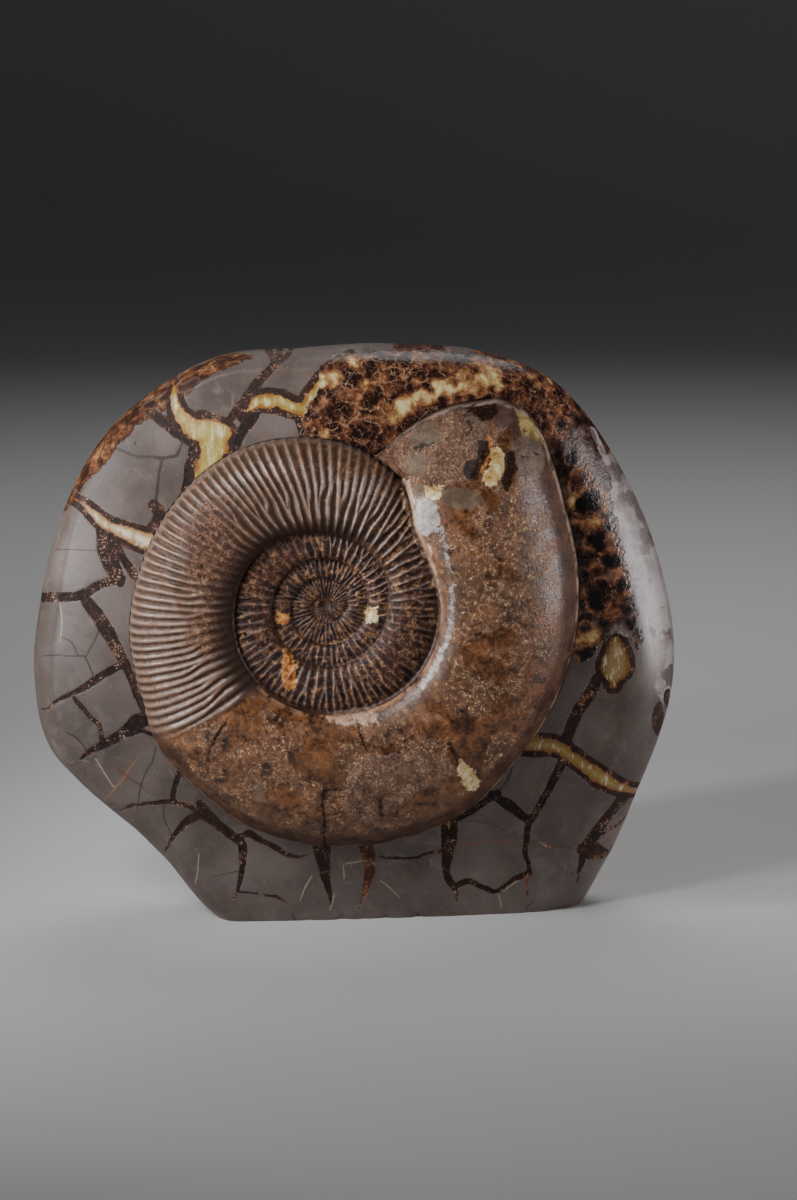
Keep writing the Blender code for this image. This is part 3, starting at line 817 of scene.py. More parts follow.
def rib_angles():
    """Spiral angle of each secondary rib and of the primary that it springs from."""
    primaries, at = [], COIL_START
    while at < LAST_PRIMARY:
        primaries.append(at)
        at += float(curve(PRIMARY_SPACING, at))
    primary, secondary = [], []
    for k, (here, after) in enumerate(zip(primaries, primaries[1:])):
        count = BRANCHES[k % len(BRANCHES)]
        for branch in range(count):
            primary.append(here)
            secondary.append(here + (after - here) * branch / count)
    # Even out the outer ends, so that single and split ribs are the same distance apart.
    secondary = np.array(secondary)
    for _ in range(EVENING_ROUNDS):
        secondary[1:-1] = 0.5 * secondary[1:-1] + 0.25 * (secondary[:-2] + secondary[2:])
    return np.array(primary), secondary


def rib_field(spiral, share):
    """Height of the ribs at each point: 0 in a furrow, 1 on a crest."""
    primary, secondary = rib_angles()
    bend = curve(RIB_LEAN, spiral) * np.clip(share, 0, 1) ** 1.3
    at = spiral - bend + 0.3 * noise(np.stack([spiral / 9, share * 3, 0 * share], 1), 1.0, 51)
    unevenness = noise(np.stack([spiral / 6, 0 * share, 0 * share], 1), 1.0, 52)
    forked = smoothstep(*FORK, share + 0.10 * unevenness)
    spacing = curve(PRIMARY_SPACING, spiral)
    half = spacing * (0.42 - 0.12 * forked)
    nearest = np.searchsorted(secondary, at)
    best = np.full(len(at), np.inf)
    for step in range(-4, 5):
        k = np.clip(nearest + step, 0, len(secondary) - 1)
        place = primary[k] + (secondary[k] - primary[k]) * forked
        best = np.minimum(best, np.abs(at - place) / half)
    best = np.clip(best, 0, 1)
    sharp = (1 - best) ** 2.0
    broad = 0.5 + 0.5 * np.cos(np.pi * best ** 1.35)
    return sharp + (broad - sharp) * smoothstep(*SHARP_RIBS, spiral)


# Patches on the fossil, as outlines: pixel x, pixel y.
FOSSIL_PATCHES = {
    "rough": [
        (372,440, 384,428, 398,422, 410,418, 430,408, 455,402, 470,408, 484,424, 486,440, 480,462,
         468,478, 452,486, 430,494, 416,490, 405,478, 396,462, 384,452),
        (352,772, 366,760, 392,752, 420,752, 448,758, 453,772, 440,788, 418,792, 404,806, 392,820,
         372,826, 350,822, 344,806, 346,788),
    ],
    "rubbed": [
        (198,505, 216,500, 234,512, 242,536, 240,560, 236,592, 226,606, 206,606, 196,586, 190,560,
         190,528),
        (184,606, 206,610, 226,610, 232,636, 222,660, 204,664, 188,650, 180,628),
        (240,577, 249,556, 268,540, 290,534, 300,540, 302,556, 296,568, 284,582, 262,591, 246,594),
        (262,620, 280,600, 292,614, 284,640, 270,650, 258,640),
        (386,630, 400,620, 418,624, 425,642, 418,666, 404,684, 391,688, 382,672, 380,650),
    ],
    "grey": [
        (410,430, 430,422, 440,430, 441,441, 425,449, 411,453),
        (406,458, 424,453, 430,462, 420,476, 404,474),
        (465,414, 478,412, 486,421, 478,426, 466,424),
        (514,440, 528,430, 540,442, 546,460, 540,478, 516,476, 510,460),
        (440,494, 450,488, 466,488, 480,494, 485,501, 474,508, 456,510, 443,505),
        (412,484, 424,484, 424,494, 412,496),
    ],
    "gloss": [
        (526,480, 536,484, 546,495, 553,520, 559,560, 561,600, 557,632, 549,656, 541,652, 546,620,
         542,590, 534,560, 529,530, 524,500),
        (414,498, 424,495, 438,502, 446,518, 450,545, 453,575, 458,605, 458,640, 451,672, 440,696,
         426,712, 410,722, 406,714, 422,696, 435,676, 441,650, 441,620, 435,590, 429,560, 423,536,
         415,522),
    ],
    # Painted highlight: pale streaks on the body chamber's inner shoulder, where a highlight falls.
    "painted_highlight": [
        (415,500, 424,496, 437,503, 441,518, 437,532, 424,536, 416,524),
        (430,514, 438,525, 443,542, 446,565, 449,588, 450.5,605, 448.5,624, 443,644, 434,665,
         420,685, 423,690, 437,670, 446.5,648, 453,628, 455,605, 453,586, 449.5,563, 447,543,
         442,528, 433,512),
    ],
    "honey": [
        (516,411, 523,407, 530,409, 535,420, 541,436, 544,444, 536,442, 527,436, 518,425),
    ],
    "yellow": [
        (488,448, 499,446, 507,456, 507,470, 498,484, 488,488, 482,478, 490,464),
        (458,757, 466,762, 475,770, 480,782, 474,793, 464,788, 458,774),
        (424,484, 444,486, 440,498, 426,500),
        (364,607, 377,607, 379,622, 366,624),
    ],
    "orange": [
        (485,433, 491,435, 492,450, 489,461, 484,468, 480,476, 477,472, 483,462, 486,450),
        (283,647, 292,650, 297,668, 296,688, 285,692, 281,672),
        (276,613, 290,613, 289,624, 277,624),
    ],
    "black": [
        (477,397, 486,393, 493,400, 498,411, 490,420, 482,421, 475,414, 470,409),
        (478,441, 488,441, 489,453, 484,463, 479,456),
        (466,463, 476,461, 481,466, 478,479, 469,481, 464,472),
        (507,449, 514,453, 516,470, 511,484, 507,491, 501,482, 505,466),
    ],
    "pale": [
        (401,480, 409,478, 414,500, 420,528, 431,548, 437,572, 440,600, 436,596, 428,566, 418,548,
         408,524, 402,502),
        (326,712, 352,708, 378,706, 377,722, 356,727, 328,724),
    ],
}

# Dark cracks in the fossil: pixel x, pixel y, full width in pixels.
FOSSIL_CRACKS = [
    (410,452,2, 425,446,3, 434,443,2),
    (475,405,2, 465,416,3, 461,419,2, 470,424,3, 472,430,2, 465,434,2),
    (517,460,1.5, 530,455,2, 541,455,1.5),
    (346,782,3, 337,790,2.5, 326,790,2.5, 323,802,3, 325,820,2, 324,846,2),
    (380,800,3, 381,815,3),
    (358,722,2, 362,738,3, 367,752,2),
    (450,744,2, 456,757,3, 459,764,2),
    (226,722,2, 214,742,3, 208,758,2, 215,766,1.5),
]


def coil_layout():
    """Spiral angle and share across for each vertex, and the rows of vertex numbers."""
    columns = round((COIL_END - COIL_START) / COLUMN)
    spiral = [COIL_START + k * COLUMN for k in range(PER_TURN)]
    across = [0.0] * PER_TURN
    rows = []
    for i in range(columns + 1):
        at = COIL_START + i * COLUMN
        inner = i if i < PER_TURN else rows[i - PER_TURN][-1]
        count = [n for start, n in STATIONS if at >= start][-1]
        if i in (0, columns):
            rows.append([inner] * (count + 1))
            continue
        even = np.linspace(0, 1, count + 1)[1:]
        eased = 0.5 - 0.5 * np.cos(np.pi * even)
        first = len(spiral)
        spiral.extend([at] * count)
        across.extend(0.6 * even + 0.4 * eased)
        rows.append([inner, *range(first, first + count)])
    across = np.array(across)
    across[across > 0.9999] = 1.0
    return np.array(spiral), across, rows


def strip_faces(one, other):
    """Faces between two rows of vertices that run the same way, of any lengths."""
    faces = []
    j = k = 0
    while j < len(one) - 1 or k < len(other) - 1:
        ahead_one = (j + 1) / (len(one) - 1)
        ahead_other = (k + 1) / (len(other) - 1)
        if len(one) == len(other):
            corners = [one[j], one[j + 1], other[k + 1], other[k]]
            j, k = j + 1, k + 1
        elif k == len(other) - 1 or (j < len(one) - 1 and ahead_one <= ahead_other):
            corners = [one[j], one[j + 1], other[k]]
            j += 1
        else:
            corners = [one[j], other[k + 1], other[k]]
            k += 1
        kept = [v for n, v in enumerate(corners) if v not in corners[:n]]
        if len(kept) > 2:
            faces.append(tuple(kept))
    return faces


def paint_fossil(x, z):
    """Depth inside each family of patches and inside the cracks, in mm."""
    marks = {}
    for key, outlines in FOSSIL_PATCHES.items():
        depths = [inside_outline(x, z, outline, fossil_y) for outline in outlines]
        marks[key] = np.maximum(np.max(depths, axis=0), NOWHERE)
    marks["crack"] = np.full(len(x), NOWHERE)
    for rows in FOSSIL_CRACKS:
        picked, far, half, _ = near_path(x, z, landed_path(rows, fossil_y), CRACK_REACH)
        marks["crack"][picked] = np.maximum(marks["crack"][picked], half - far)
    return marks


def fossil_surface(points, spiral, across):
    """The numbers that the shell's material reads, and the lift of its surface in mm."""
    share = across * np.minimum(shown_share(spiral), 1.0)
    marks = paint_fossil(points[:, 0], points[:, 2])
    rubbed = smoothstep(-8.0, 8.0, marks.pop("rubbed") + 9.0 * noise(points, 12, 67, 2))
    ends = RIBS_END[0] + (RIBS_END[1] - RIBS_END[0]) * share
    ribbed = 1 - smoothstep(-1.5, 2.5, spiral - ends)
    wear = 0.95 * rubbed + 0.45 * smoothstep(0.1, 0.7, noise(points, 22, 61, 2))
    worn = np.clip(wear, 0, 1) * ribbed
    ribs = rib_field(spiral, share)

    # Ribs: lower on the small inner turns, at both edges of a turn, and where rubbed
    small = (whorl_width(spiral) / WHORL_WIDTH) ** 0.7
    fade = smoothstep(0.0, 0.16, share) * (1 - 0.75 * smoothstep(0.90, 1.0, share))
    seated = 1 - 0.9 * smoothstep(0.86, 1.0, across) * (spiral < COIL_OPENS[0])
    lift = RIB_HEIGHT * small * ribbed * fade * seated * (1 - 0.62 * worn) * (ribs - 0.45)
    # Body chamber: dents, grains on the rough patches, cracks and hollows
    inside = smoothstep(0.0, 0.12, share) * (1 - smoothstep(0.93, 1.0, across))
    dents = 0.55 * noise(points, 26, 63, 2) + 0.22 * noise(points, 6, 64, 2)
    lift += (1 - ribbed) * inside * dents
    rough = smoothstep(-1.0, 3.0, marks["rough"])
    lift += inside * rough * (1.1 * noise(points, 6.5, 65, 3) + 0.3)
    lift -= 0.9 * smoothstep(-0.3, 1.0, marks["crack"])
    lift -= 0.6 * smoothstep(-0.5, 2.0, marks["black"])
    # Ribbed turns: fine grain, and crystals towards the middle
    lift += 0.18 * noise(points, 3.5, 66) * ribbed * small
    crystals = np.clip(noise(points, 5.0, 76, 2), 0, 1) * ribbed * smoothstep(90, -30, spiral)
    lift += 0.40 * crystals * small

    width = coil_edge(spiral) - coil_edge(spiral - TURN)
    marks.update(
        rib=ribs * ribbed, ribbed=ribbed, worn=worn, share=share, turn=spiral / TURN,
        seam=np.minimum(across, 1 - across) * width,
        outer=across * smoothstep(*COIL_OPENS, spiral),
        olive=smoothstep(0.0, 0.5, noise(points, 31, 68, 2)), rusty=noise(points, 17, 74, 2),
        greyed=0.8 * noise(points, 21, 75, 2) - 0.1,
        laced=np.clip(0.5 + noise(points, 26, 69, 2), 0, 1) * smoothstep(0.02, 0.12, share))
    return marks, lift


def buried_side(rows, height, first):
    """Points, numbered from first, and faces that close the coil's middle and its underside."""
    points = [[COIL_X, face_y(COIL_X, COIL_Z) - height, COIL_Z]]
    faces = [(k, (k + 1) % PER_TURN, first) for k in range(PER_TURN)]
    columns = range(len(rows) - 1 - PER_TURN, len(rows) - 1)
    ring = [rows[i][-1] for i in columns]
    turned = np.radians([COIL_START + i * COLUMN for i in columns])
    edge = coil_edge(np.degrees(turned))
    for share in BOWL_SHARES:
        sink = BURIED_DEPTH * bowl(share)
        x = COIL_X + edge * share * np.cos(turned)
        z = COIL_Z + edge * share * np.sin(turned)
        start = first + len(points)
        points.extend(np.stack([x, face_y(x, z) + sink, z], axis=1))
        for k in range(PER_TURN):
            after = (k + 1) % PER_TURN
            faces.append((ring[k], ring[after], start + after, start + k))
        ring = range(start, start + PER_TURN)
    bottom = first + len(points)
    points.append([COIL_X, face_y(COIL_X, COIL_Z) + BURIED_DEPTH, COIL_Z])
    faces.extend((ring[k], ring[(k + 1) % PER_TURN], bottom) for k in range(PER_TURN))
    return np.array(points), faces


def build_ammonite():
    spiral, across, rows = coil_layout()
    inner = coil_edge(spiral - TURN)
    radius = inner + (coil_edge(spiral) - inner) * across
    height = relief(spiral, across)
    a = np.radians(spiral)
    x, z = COIL_X + radius * np.cos(a), COIL_Z + radius * np.sin(a)
    points = np.stack([x, face_y(x, z) - height, z], axis=1)
    marks, lift = fossil_surface(points, spiral, across)

    faces = [face for pair in zip(rows, rows[1:]) for face in strip_faces(*pair)]
    buried, more_faces = buried_side(rows, height[0], len(points))
    points, unlifted = np.concatenate([points, buried]), np.zeros(len(buried))
    marks = {key: np.concatenate([values, unlifted]) for key, values in marks.items()}
    made = make_object("ammonite_shell", points, faces + more_faces, marks)
    bm = bmesh.new()
    bm.from_mesh(made.data)
    bmesh.ops.recalc_face_normals(bm, faces=bm.faces[:])
    bm.to_mesh(made.data)
    bm.free()
    normals = np.empty(points.size, np.float32)
    made.data.vertices.foreach_get("normal", normals)
    points += normals.reshape(-1, 3) * np.concatenate([lift, unlifted])[:, None]
    made.data.vertices.foreach_set("co", (points * MM).astype(np.float32).ravel())
    made.data.update()
    made.data.shade_smooth()
    return made


# ---- materials ---------------------------------------------------------------------------

HALF = (0.5, 0.5, 0.5)
# the export keeps this number in place of the linked one
EXPORTED_SPECULAR = 0.3           # set on the shader's own socket, under the linked number


def rgba(colour):
    """Colours are linear, in thousandths."""
    return (*(part / 1000 for part in colour), 1.0)


class Graph:
    """A material's nodes, put together by short calls that give sockets back."""

    def __init__(self, name):
        self.material = bpy.data.materials.new(name)
        self.material.use_nodes = True
        self.nodes = self.material.node_tree.nodes
        self.shader = self.nodes["Principled BSDF"]
        self.place = self.nodes.new("ShaderNodeTexCoord").outputs["Object"]

    def feed(self, socket, value):
        if isinstance(value, bpy.types.NodeSocket):
            self.material.node_tree.links.new(value, socket)
        else:
            socket.default_value = rgba(value) if socket.type == "RGBA" else value

    def node(self, kind, inputs, output=0, **settings):
        made = self.nodes.new("ShaderNode" + kind)
        for key, value in settings.items():
            setattr(made, key, value)
        for key, value in inputs.items():
            self.feed(made.inputs[key], value)
        return made.outputs[output]

    def mark(self, name, output="Fac"):
        """The number, or the vector, that the mesh carries under this name."""
        return self.node("Attribute", {}, output, attribute_name=name)

    def math(self, operation, *values):
        inputs = dict(enumerate((*values, 0.0, 0.0)[:3]))
        return self.node("Math", inputs, operation=operation)

    def vector(self, operation, a, b=(0, 0, 0), scale=1.0, output=0):
        return self.node("VectorMath", {0: a, 1: b, 3: scale}, output, operation=operation)

    def noise(self, lump, detail=3.0, roughness=0.55, distortion=0.0, at=None, output="Fac"):
        """Cloudy noise from 0 to 1 with lumps of this size, in mm."""
        return self.node("TexNoise", {
            "Vector": at or self.place, "Scale": 1.0 / (lump * MM), "Detail": detail,
            "Roughness": roughness, "Distortion": distortion}, output)

    def cells(self, size, feature, at, output="Distance"):
        inputs = {"Vector": at, "Scale": 1.0 / (size * MM)}
        return self.node("TexVoronoi", inputs, output, feature=feature)

    def warped(self, lump, amount):
        """The place on the object, pushed about by noise: both in mm."""
        centred = self.vector("SUBTRACT", self.noise(lump, 2.0, output="Color"), HALF)
        push = self.vector("SCALE", centred, scale=2 * amount * MM)
        return self.vector("ADD", self.place, push)

    def step(self, value, low, high, to_low=0.0, to_high=1.0):
        """A smooth change from one number to another as value goes from low to high."""
        inputs = dict(enumerate((value, low, high, to_low, to_high)))
        return self.node("MapRange", inputs, interpolation_type="SMOOTHSTEP")

    def ramp(self, value, *stops):
        """A colour that runs through the stops, given as position, colour, position ..."""
        node = self.nodes.new("ShaderNodeValToRGB")
        elements = node.color_ramp.elements
        while len(elements) < len(stops) // 2:
            elements.new(1.0)
        for element, position, colour in zip(elements, stops[::2], stops[1::2]):
            element.position, element.color = position, rgba(colour)
        self.feed(node.inputs[0], value)
        return node.outputs[0]

    def mix(self, share, one, other, blend="MIX"):
        return self.node("Mix", {"Factor": share, 6: one, 7: other}, 2,
                         data_type="RGBA", blend_type=blend)

    def blend(self, share, one, other):
        """A number between two numbers."""
        return self.node("Mix", {"Factor": share, 2: one, 3: other})

    def painted(self, colour, *layers):
        """A colour with layers over it, each given as its share and its colour."""
        for share, over in layers:
            colour = self.mix(share, colour, over)
        return colour

    def layered(self, number, *layers):
        """A number with layers over it, each given as its share and its number."""
        for share, over in layers:
            number = self.blend(share, number, over)
        return number

    def joined(self, operation, total, *values):
        for value in values:
            total = self.math(operation, total, value)
        return total

    def add(self, *values):
        return self.joined("ADD", *values)

    def times(self, *values):
        return self.joined("MULTIPLY", *values)

    def highest(self, *values):
        return self.joined("MAXIMUM", *values)

    def rest(self, share):
        return self.math("SUBTRACT", 1.0, share)

    def scaled(self, value, by, plus):
        return self.math("MULTIPLY_ADD", value, by, plus)

    def stirred(self, value, cloud, amount):
        """A value pushed up and down by a cloud, by half the amount each way."""
        return self.add(value, self.scaled(cloud, amount, -amount / 2))

    def ragged(self, name, cloud, amount, low, high):
        """An attribute's inside, with an edge made ragged by a cloud: amount in mm."""
        return self.step(self.stirred(self.mark(name), cloud, 4 * amount), low, high)

    def finish(self, colour, roughness, specular, height):
        """The material, with all of these linked; height is its fine relief, in mm."""
        inputs = self.shader.inputs
        inputs["Specular IOR Level"].default_value = EXPORTED_SPECULAR
        self.feed(inputs["Base Color"], colour)
        self.feed(inputs["Roughness"], roughness)
        self.feed(inputs["Specular IOR Level"], specular)
        self.feed(inputs["Normal"], self.node("Bump", {"Distance": MM, "Height": height}))
        return self.material


STONE, STONE_DARK, STONE_PALE = (77, 58, 51), (52, 38, 33), (108, 85, 75)
VEIN_BLACK, VEIN_BROWN, VEIN_ORANGE = (8, 4.5, 4), (24, 10.5, 7), (140, 52, 18)
LEMON, PALE_LEMON, CREAM, RUST = (235, 165, 36), (290, 240, 75), (290, 205, 95), (140, 42, 11)
RIND, RIND_PALE, RIND_DARK = (145, 95, 64), (230, 168, 120), (58, 35, 23)


def limestone(g, fine, medium, broad):
    """The grey stone, its smudges, specks and pale threads, and the hairlines in it."""
    smudge = g.noise(24, 4.0, 0.62, 0.4)
    specks = g.times(g.step(fine, 0.36, 0.31), g.step(medium, 0.50, 0.60), 0.5)
    threads = g.times(g.step(g.mark("thread"), 0.012, 0.003), g.step(broad, 0.45, 0.60))
    wobble = g.vector("SUBTRACT", g.noise(2.5, 1.0, output="Color"), HALF)
    offset = g.vector("ADD", g.mark("hair_offset", "Vector"), wobble)
    half = g.times(g.mark("hair_half"), g.step(medium, 0.3, 0.6, 0.5, 1.1))
    inside = g.math("SUBTRACT", half, g.vector("LENGTH", offset, output=1))
    hair = g.times(g.step(inside, -0.22, 0.12), g.step(g.mark("hair_far"), 3.0, 2.0))
    hair_colour = g.ramp(
        g.mark("hair_tone"), 0.0, (25, 16, 13), 0.5, (170, 65, 25), 1.0, (260, 195, 150))
    return g.painted(
        g.ramp(g.mark("cloud"), 0.25, STONE_DARK, 0.5, STONE, 0.75, STONE_PALE),
        (g.step(smudge, 0.50, 0.64, 0.0, 0.55), (52, 37, 31)),
        (g.step(smudge, 0.46, 0.34, 0.0, 0.50), (124, 100, 92)),
        (g.step(fine, 0.56, 0.78, 0.0, 0.35), (48, 38, 34)),
        (g.step(broad, 0.50, 0.66, 0.0, 0.60), (100, 70, 52)),
        (specks, (260, 200, 160)),
        (g.times(threads, 0.40), (250, 180, 140)),
        (g.times(hair, 0.85), hair_colour))


def brown_vein(g, tone, depth, fine, medium, broad):
    """Brown calcite with rusty edges, bright crystals and a pale ridge along the middle."""
    rusty = g.times(g.step(medium, 0.50, 0.64), g.step(depth, 1.8, 0.4, 0.12, 0.7))
    ridge = g.add(g.mark("middle"), g.scaled(medium, 5.0, -2.2))
    sparkle = g.times(g.step(fine, 0.54, 0.62), g.step(broad, 0.50, 0.58, 0.04, 0.95))
    return g.painted(
        g.ramp(tone, 0.05, VEIN_BLACK, 0.50, VEIN_BROWN, 0.95, VEIN_ORANGE),
        (rusty, (70, 24, 12)),
        (sparkle, (250, 150, 105)),
        (g.times(g.step(ridge, 0.9, 0.0), g.step(medium, 0.42, 0.54), 0.9), (250, 140, 95)))


def calcite_filling(g, filling, medium, broad):
    """Yellow, white or amber calcite, rusty where it meets its lining."""
    inner = g.scaled(filling, 0.16, g.scaled(medium, 0.5, -0.1))
    lemon = g.ramp(inner, 0.10, (50, 15, 6), 0.20, RUST, 0.34, (270, 155, 34), 0.58, LEMON,
                   0.95, PALE_LEMON)
    white = g.ramp(inner, 0.10, (50, 15, 6), 0.20, RUST, 0.36, (250, 140, 65), 0.60, CREAM,
                   0.95, (480, 390, 300))
    amber = g.ramp(inner, 0.10, (40, 12, 5), 0.24, (100, 34, 10), 0.50, (125, 62, 18),
                   0.95, (200, 130, 55))
    tone = g.mark("fill_tone")
    veil = g.noise(3.4, 2.0, 0.55, 0.4, g.vector("MULTIPLY", g.place, (1.0, 1.0, 0.3)))
    milky = g.times(g.step(veil, 0.54, 0.66), g.step(inner, 0.30, 0.50), 0.55)
    rusty = g.times(g.step(broad, 0.52, 0.62), g.step(inner, 0.80, 0.40), 0.75)
    return g.painted(
        lemon,
        (g.step(tone, 0.1, 0.8), white),
        (g.step(tone, 0.1, -0.8), amber),
        (milky, (500, 470, 330)),
        (g.step(veil, 0.47, 0.36, 0.0, 0.55), (190, 115, 20)),
        (rusty, (170, 60, 12)))


def zone_calcite(g, loops, fine, medium, broad):
    """The looped calcite along the top and the blistered strip down the right side."""
    lively = g.blend(g.mark("calm"), 1.5, 1.0)
    swirl = g.times(g.math("SUBTRACT", g.noise(8.0, 2.5, 0.6, 0.3), 0.5), lively)
    shade = g.add(swirl, 0.43, g.scaled(medium, 0.28, -0.14), g.mark("tint"))
    skin = g.math("ABSOLUTE", g.add(g.mark("blob"), g.scaled(medium, 5.0, -1.2)))
    skin = g.times(g.times(g.step(skin, 0.7, 0.2), g.step(medium, 0.46, 0.54)), 0.5)
    flecks = g.times(g.step(fine, 0.56, 0.62), g.step(medium, 0.46, 0.54), 0.28)
    warm = g.painted(
        g.ramp(shade, 0.22, (12, 5, 4), 0.34, (34, 12, 8), 0.45, (76, 27, 14),
               0.55, (140, 55, 25), 0.66, (230, 110, 42), 0.77, (360, 245, 90),
               0.95, (500, 440, 240)),
        (flecks, (300, 150, 80)),
        (g.times(g.step(loops, 0.045, 0.0), g.step(broad, 0.46, 0.54), 0.5), (340, 210, 130)),
        (skin, (340, 190, 110)))
    cool = g.ramp(shade, 0.26, (5, 3.5, 3.5), 0.40, (24, 12, 9), 0.52, (66, 38, 28),
                  0.66, (118, 88, 78), 0.84, (210, 185, 175))
    cool = g.mix(skin, cool, (260, 180, 140))
    warmth = g.step(g.stirred(g.mark("warmth"), medium, 1.4), 0.25, 0.75)
    return g.mix(warmth, cool, warm)


def shoulder_marble_and_sheen(g, loops, broad):
    """Pale mottled calcite on the right shoulder, partly painted highlight, dark where it meets the
    rim.
    """
    tiles = g.cells(16.0, "F1", g.warped(9, 6.0), "Color")
    tile = g.add(g.times(broad, 0.55), g.times(tiles, 0.45))
    brink = g.step(g.stirred(g.mark("out"), broad, 0.16), 0.90, 0.97)
    return g.painted(
        g.ramp(tile, 0.34, (75, 58, 54), 0.48, (150, 122, 117), 0.60, (265, 230, 225)),
        (g.step(loops, 0.035, 0.0, 0.0, 0.35), (300, 270, 260)),
        (g.times(brink, 0.35), (35, 24, 20)))


def natural_rind(g, tone, veined, filled, fine, broad):
    """The rough brown rind of the back, with its cracks and their filling."""
    patina = g.add(g.times(g.mark("cloud"), 0.5), g.times(broad, 0.5))
    return g.painted(
        g.ramp(patina, 0.36, RIND_DARK, 0.50, RIND, 0.64, RIND_PALE),
        (g.times(veined, 0.75), g.ramp(tone, 0.1, (50, 30, 20), 0.8, (200, 110, 60))),
        (g.times(filled, 0.8), (420, 330, 200)),
        (g.step(fine, 0.56, 0.70, 0.0, 0.5), (360, 290, 230)))


def stone_material():
    g = Graph("septarian_limestone")
    fine = g.noise(1.3, 2.0, 0.6)
    medium = g.noise(4.2, 3.0, 0.6, 0.5)
    broad = g.noise(11, 4.0, 0.68, 0.6)
    vein, edge, out = g.mark("vein"), g.mark("edge"), g.mark("out")
    loops = g.cells(8.0, "DISTANCE_TO_EDGE", g.warped(9, 6.0))

    # Where each kind of stone is
    tone = g.add(g.mark("vein_tone"), g.scaled(broad, 1.6, -0.82))
    depth = g.stirred(g.stirred(vein, medium, 1.8), fine, 1.6)
    veined = g.step(depth, -0.18, 0.14)
    filling = g.add(g.mark("fill"), g.scaled(broad, 6.4, -3.3))
    filled = g.step(filling, -0.1, 0.35)
    marbled_and_sheen = g.step(g.stirred(g.mark("marble_and_sheen"), broad, 1.0), 0.35, 0.65)
    zoned = g.ragged("zone", broad, 3.2, -0.3, 0.3)
    crust = g.times(g.ragged("crust", broad, 2.5, -0.5, 0.8), g.step(vein, 0.0, -1.5, 0.35, 1.0))
    crusty = g.ramp(
        g.add(g.times(broad, 0.65), g.times(medium, 0.35)), 0.38, (8, 4, 3), 0.46, (28, 10, 5),
        0.53, (80, 30, 12), 0.60, (150, 66, 28), 0.68, (240, 140, 75))
    back = g.step(g.stirred(g.mark("rind"), broad, 1.0), 0.25, 0.75)
    up = g.node("SeparateXYZ", {0: g.place}, 2)
    sawn = g.step(up, 0.0004, 0.0002)

    colour = g.painted(
        limestone(g, fine, medium, broad),
        (veined, brown_vein(g, tone, depth, fine, medium, broad)),
        (filled, calcite_filling(g, filling, medium, broad)),
        # The pale shoulder, partly a painted highlight.
        (g.times(marbled_and_sheen, g.step(veined, 1.0, 0.0)), shoulder_marble_and_sheen(g, loops, broad)),
        (zoned, zone_calcite(g, loops, fine, medium, broad)),
        (crust, crusty),
        (back, natural_rind(g, tone, veined, filled, fine, broad)),
        (g.times(sawn, 0.65), g.ramp(broad, 0.35, STONE, 0.65, STONE_PALE)))
    roughness = g.layered(
        g.scaled(broad, 0.24, 0.20), (edge, 0.62), (veined, 0.55), (filled, 0.22), (marbled_and_sheen, 0.36),
        (g.times(zoned, 0.8), 0.16), (crust, 0.72), (back, 0.82), (sawn, 0.6))
    lumps = g.add(medium, g.times(broad, 1.5))
    height = g.add(
        g.times(veined, fine, -0.45), g.times(fine, 0.05), g.times(zoned, medium, 0.4),
        g.times(back, lumps, 1.8), g.times(crust, medium, 0.8))
    unzoned = g.step(zoned, 1.0, 0.0)
    dull = g.highest(
        crust, back, g.times(edge, 0.75),
        g.times(veined, g.step(filled, 1.0, 0.0), unzoned, 0.85),
        g.times(marbled_and_sheen, unzoned, 0.45), g.times(zoned, g.step(out, 0.1, 0.5), 0.7))
    return g.finish(colour, roughness, g.blend(dull, 0.50, 0.10), height)


SHELL, SHELL_DARK, SHELL_RED = (100, 58, 37), (50, 27, 17), (122, 55, 30)
CREST_COLOUR = (200, 130, 91)


def ribbed_shell(g, height, rubbed, inner_turns, outer_turn, fine, mottle, broad):
    """Ribbed turns: furrows darkened as painted shade, crests paler, partly worn shell and partly
    painted highlight, crystals on the innermost turns.
    """
    rib, turn = g.mark("rib"), g.mark("turn")
    furrow = g.mix(outer_turn, (20, 10, 8), (42, 23, 15))
    flanks = g.ramp(broad, 0.36, SHELL_DARK, 0.50, SHELL, 0.62, SHELL_RED)
    crest = g.mix(g.step(broad, 0.42, 0.62, 0.05, 0.75), CREST_COLOUR, (155, 88, 58))
    crest = g.mix(outer_turn, g.mix(0.5, crest, (85, 42, 26)), crest)
    encrusted = g.ramp(
        g.add(g.times(mottle, 0.70), g.times(fine, 0.30)), 0.38, (14, 9, 10), 0.46, (48, 26, 22),
        0.52, (115, 56, 36), 0.57, (230, 115, 52), 0.63, (460, 330, 210))
    # Painted shade: darker towards the furrows, by the ribs' height.
    shaded = g.ramp(rib, 0.0, (400, 380, 400), 0.7, (1000, 1000, 1000))
    encrusted = g.mix(1.0, encrusted, shaded, "MULTIPLY")
    crumbs = g.times(
        g.step(mottle, 0.53, 0.60), g.step(fine, 0.44, 0.52), g.step(turn, 0.30, 0.10), 0.8)
    worn_colour = g.ramp(
        g.add(g.times(mottle, 0.6), g.times(fine, 0.4)), 0.38, (16, 6, 4), 0.46, (54, 21, 12),
        0.54, (105, 42, 22), 0.60, (190, 88, 46), 0.66, (320, 190, 120))
    # Painted shade: darker towards the furrows, by the ribs' height.
    shaded = g.ramp(rib, 0.0, (350, 320, 320), 0.8, (1000, 1000, 1000))
    worn_colour = g.mix(0.7, worn_colour, shaded, "MULTIPLY")
    grains = g.times(rubbed, g.step(mottle, 0.50, 0.56), g.step(fine, 0.48, 0.58), 0.5)
    # Dark furrows are painted shade; pale crests are partly painted highlight.
    return g.painted(
        furrow,
        (g.step(height, 0.02, 0.45), flanks),
        (g.step(height, 0.55, 1.0, 0.0, 0.9), crest),
        (inner_turns, encrusted),
        (crumbs, g.ramp(broad, 0.42, (100, 46, 28), 0.60, (340, 170, 70))),
        (g.times(rubbed, 0.8), worn_colour),
        (grains, (280, 150, 80)))


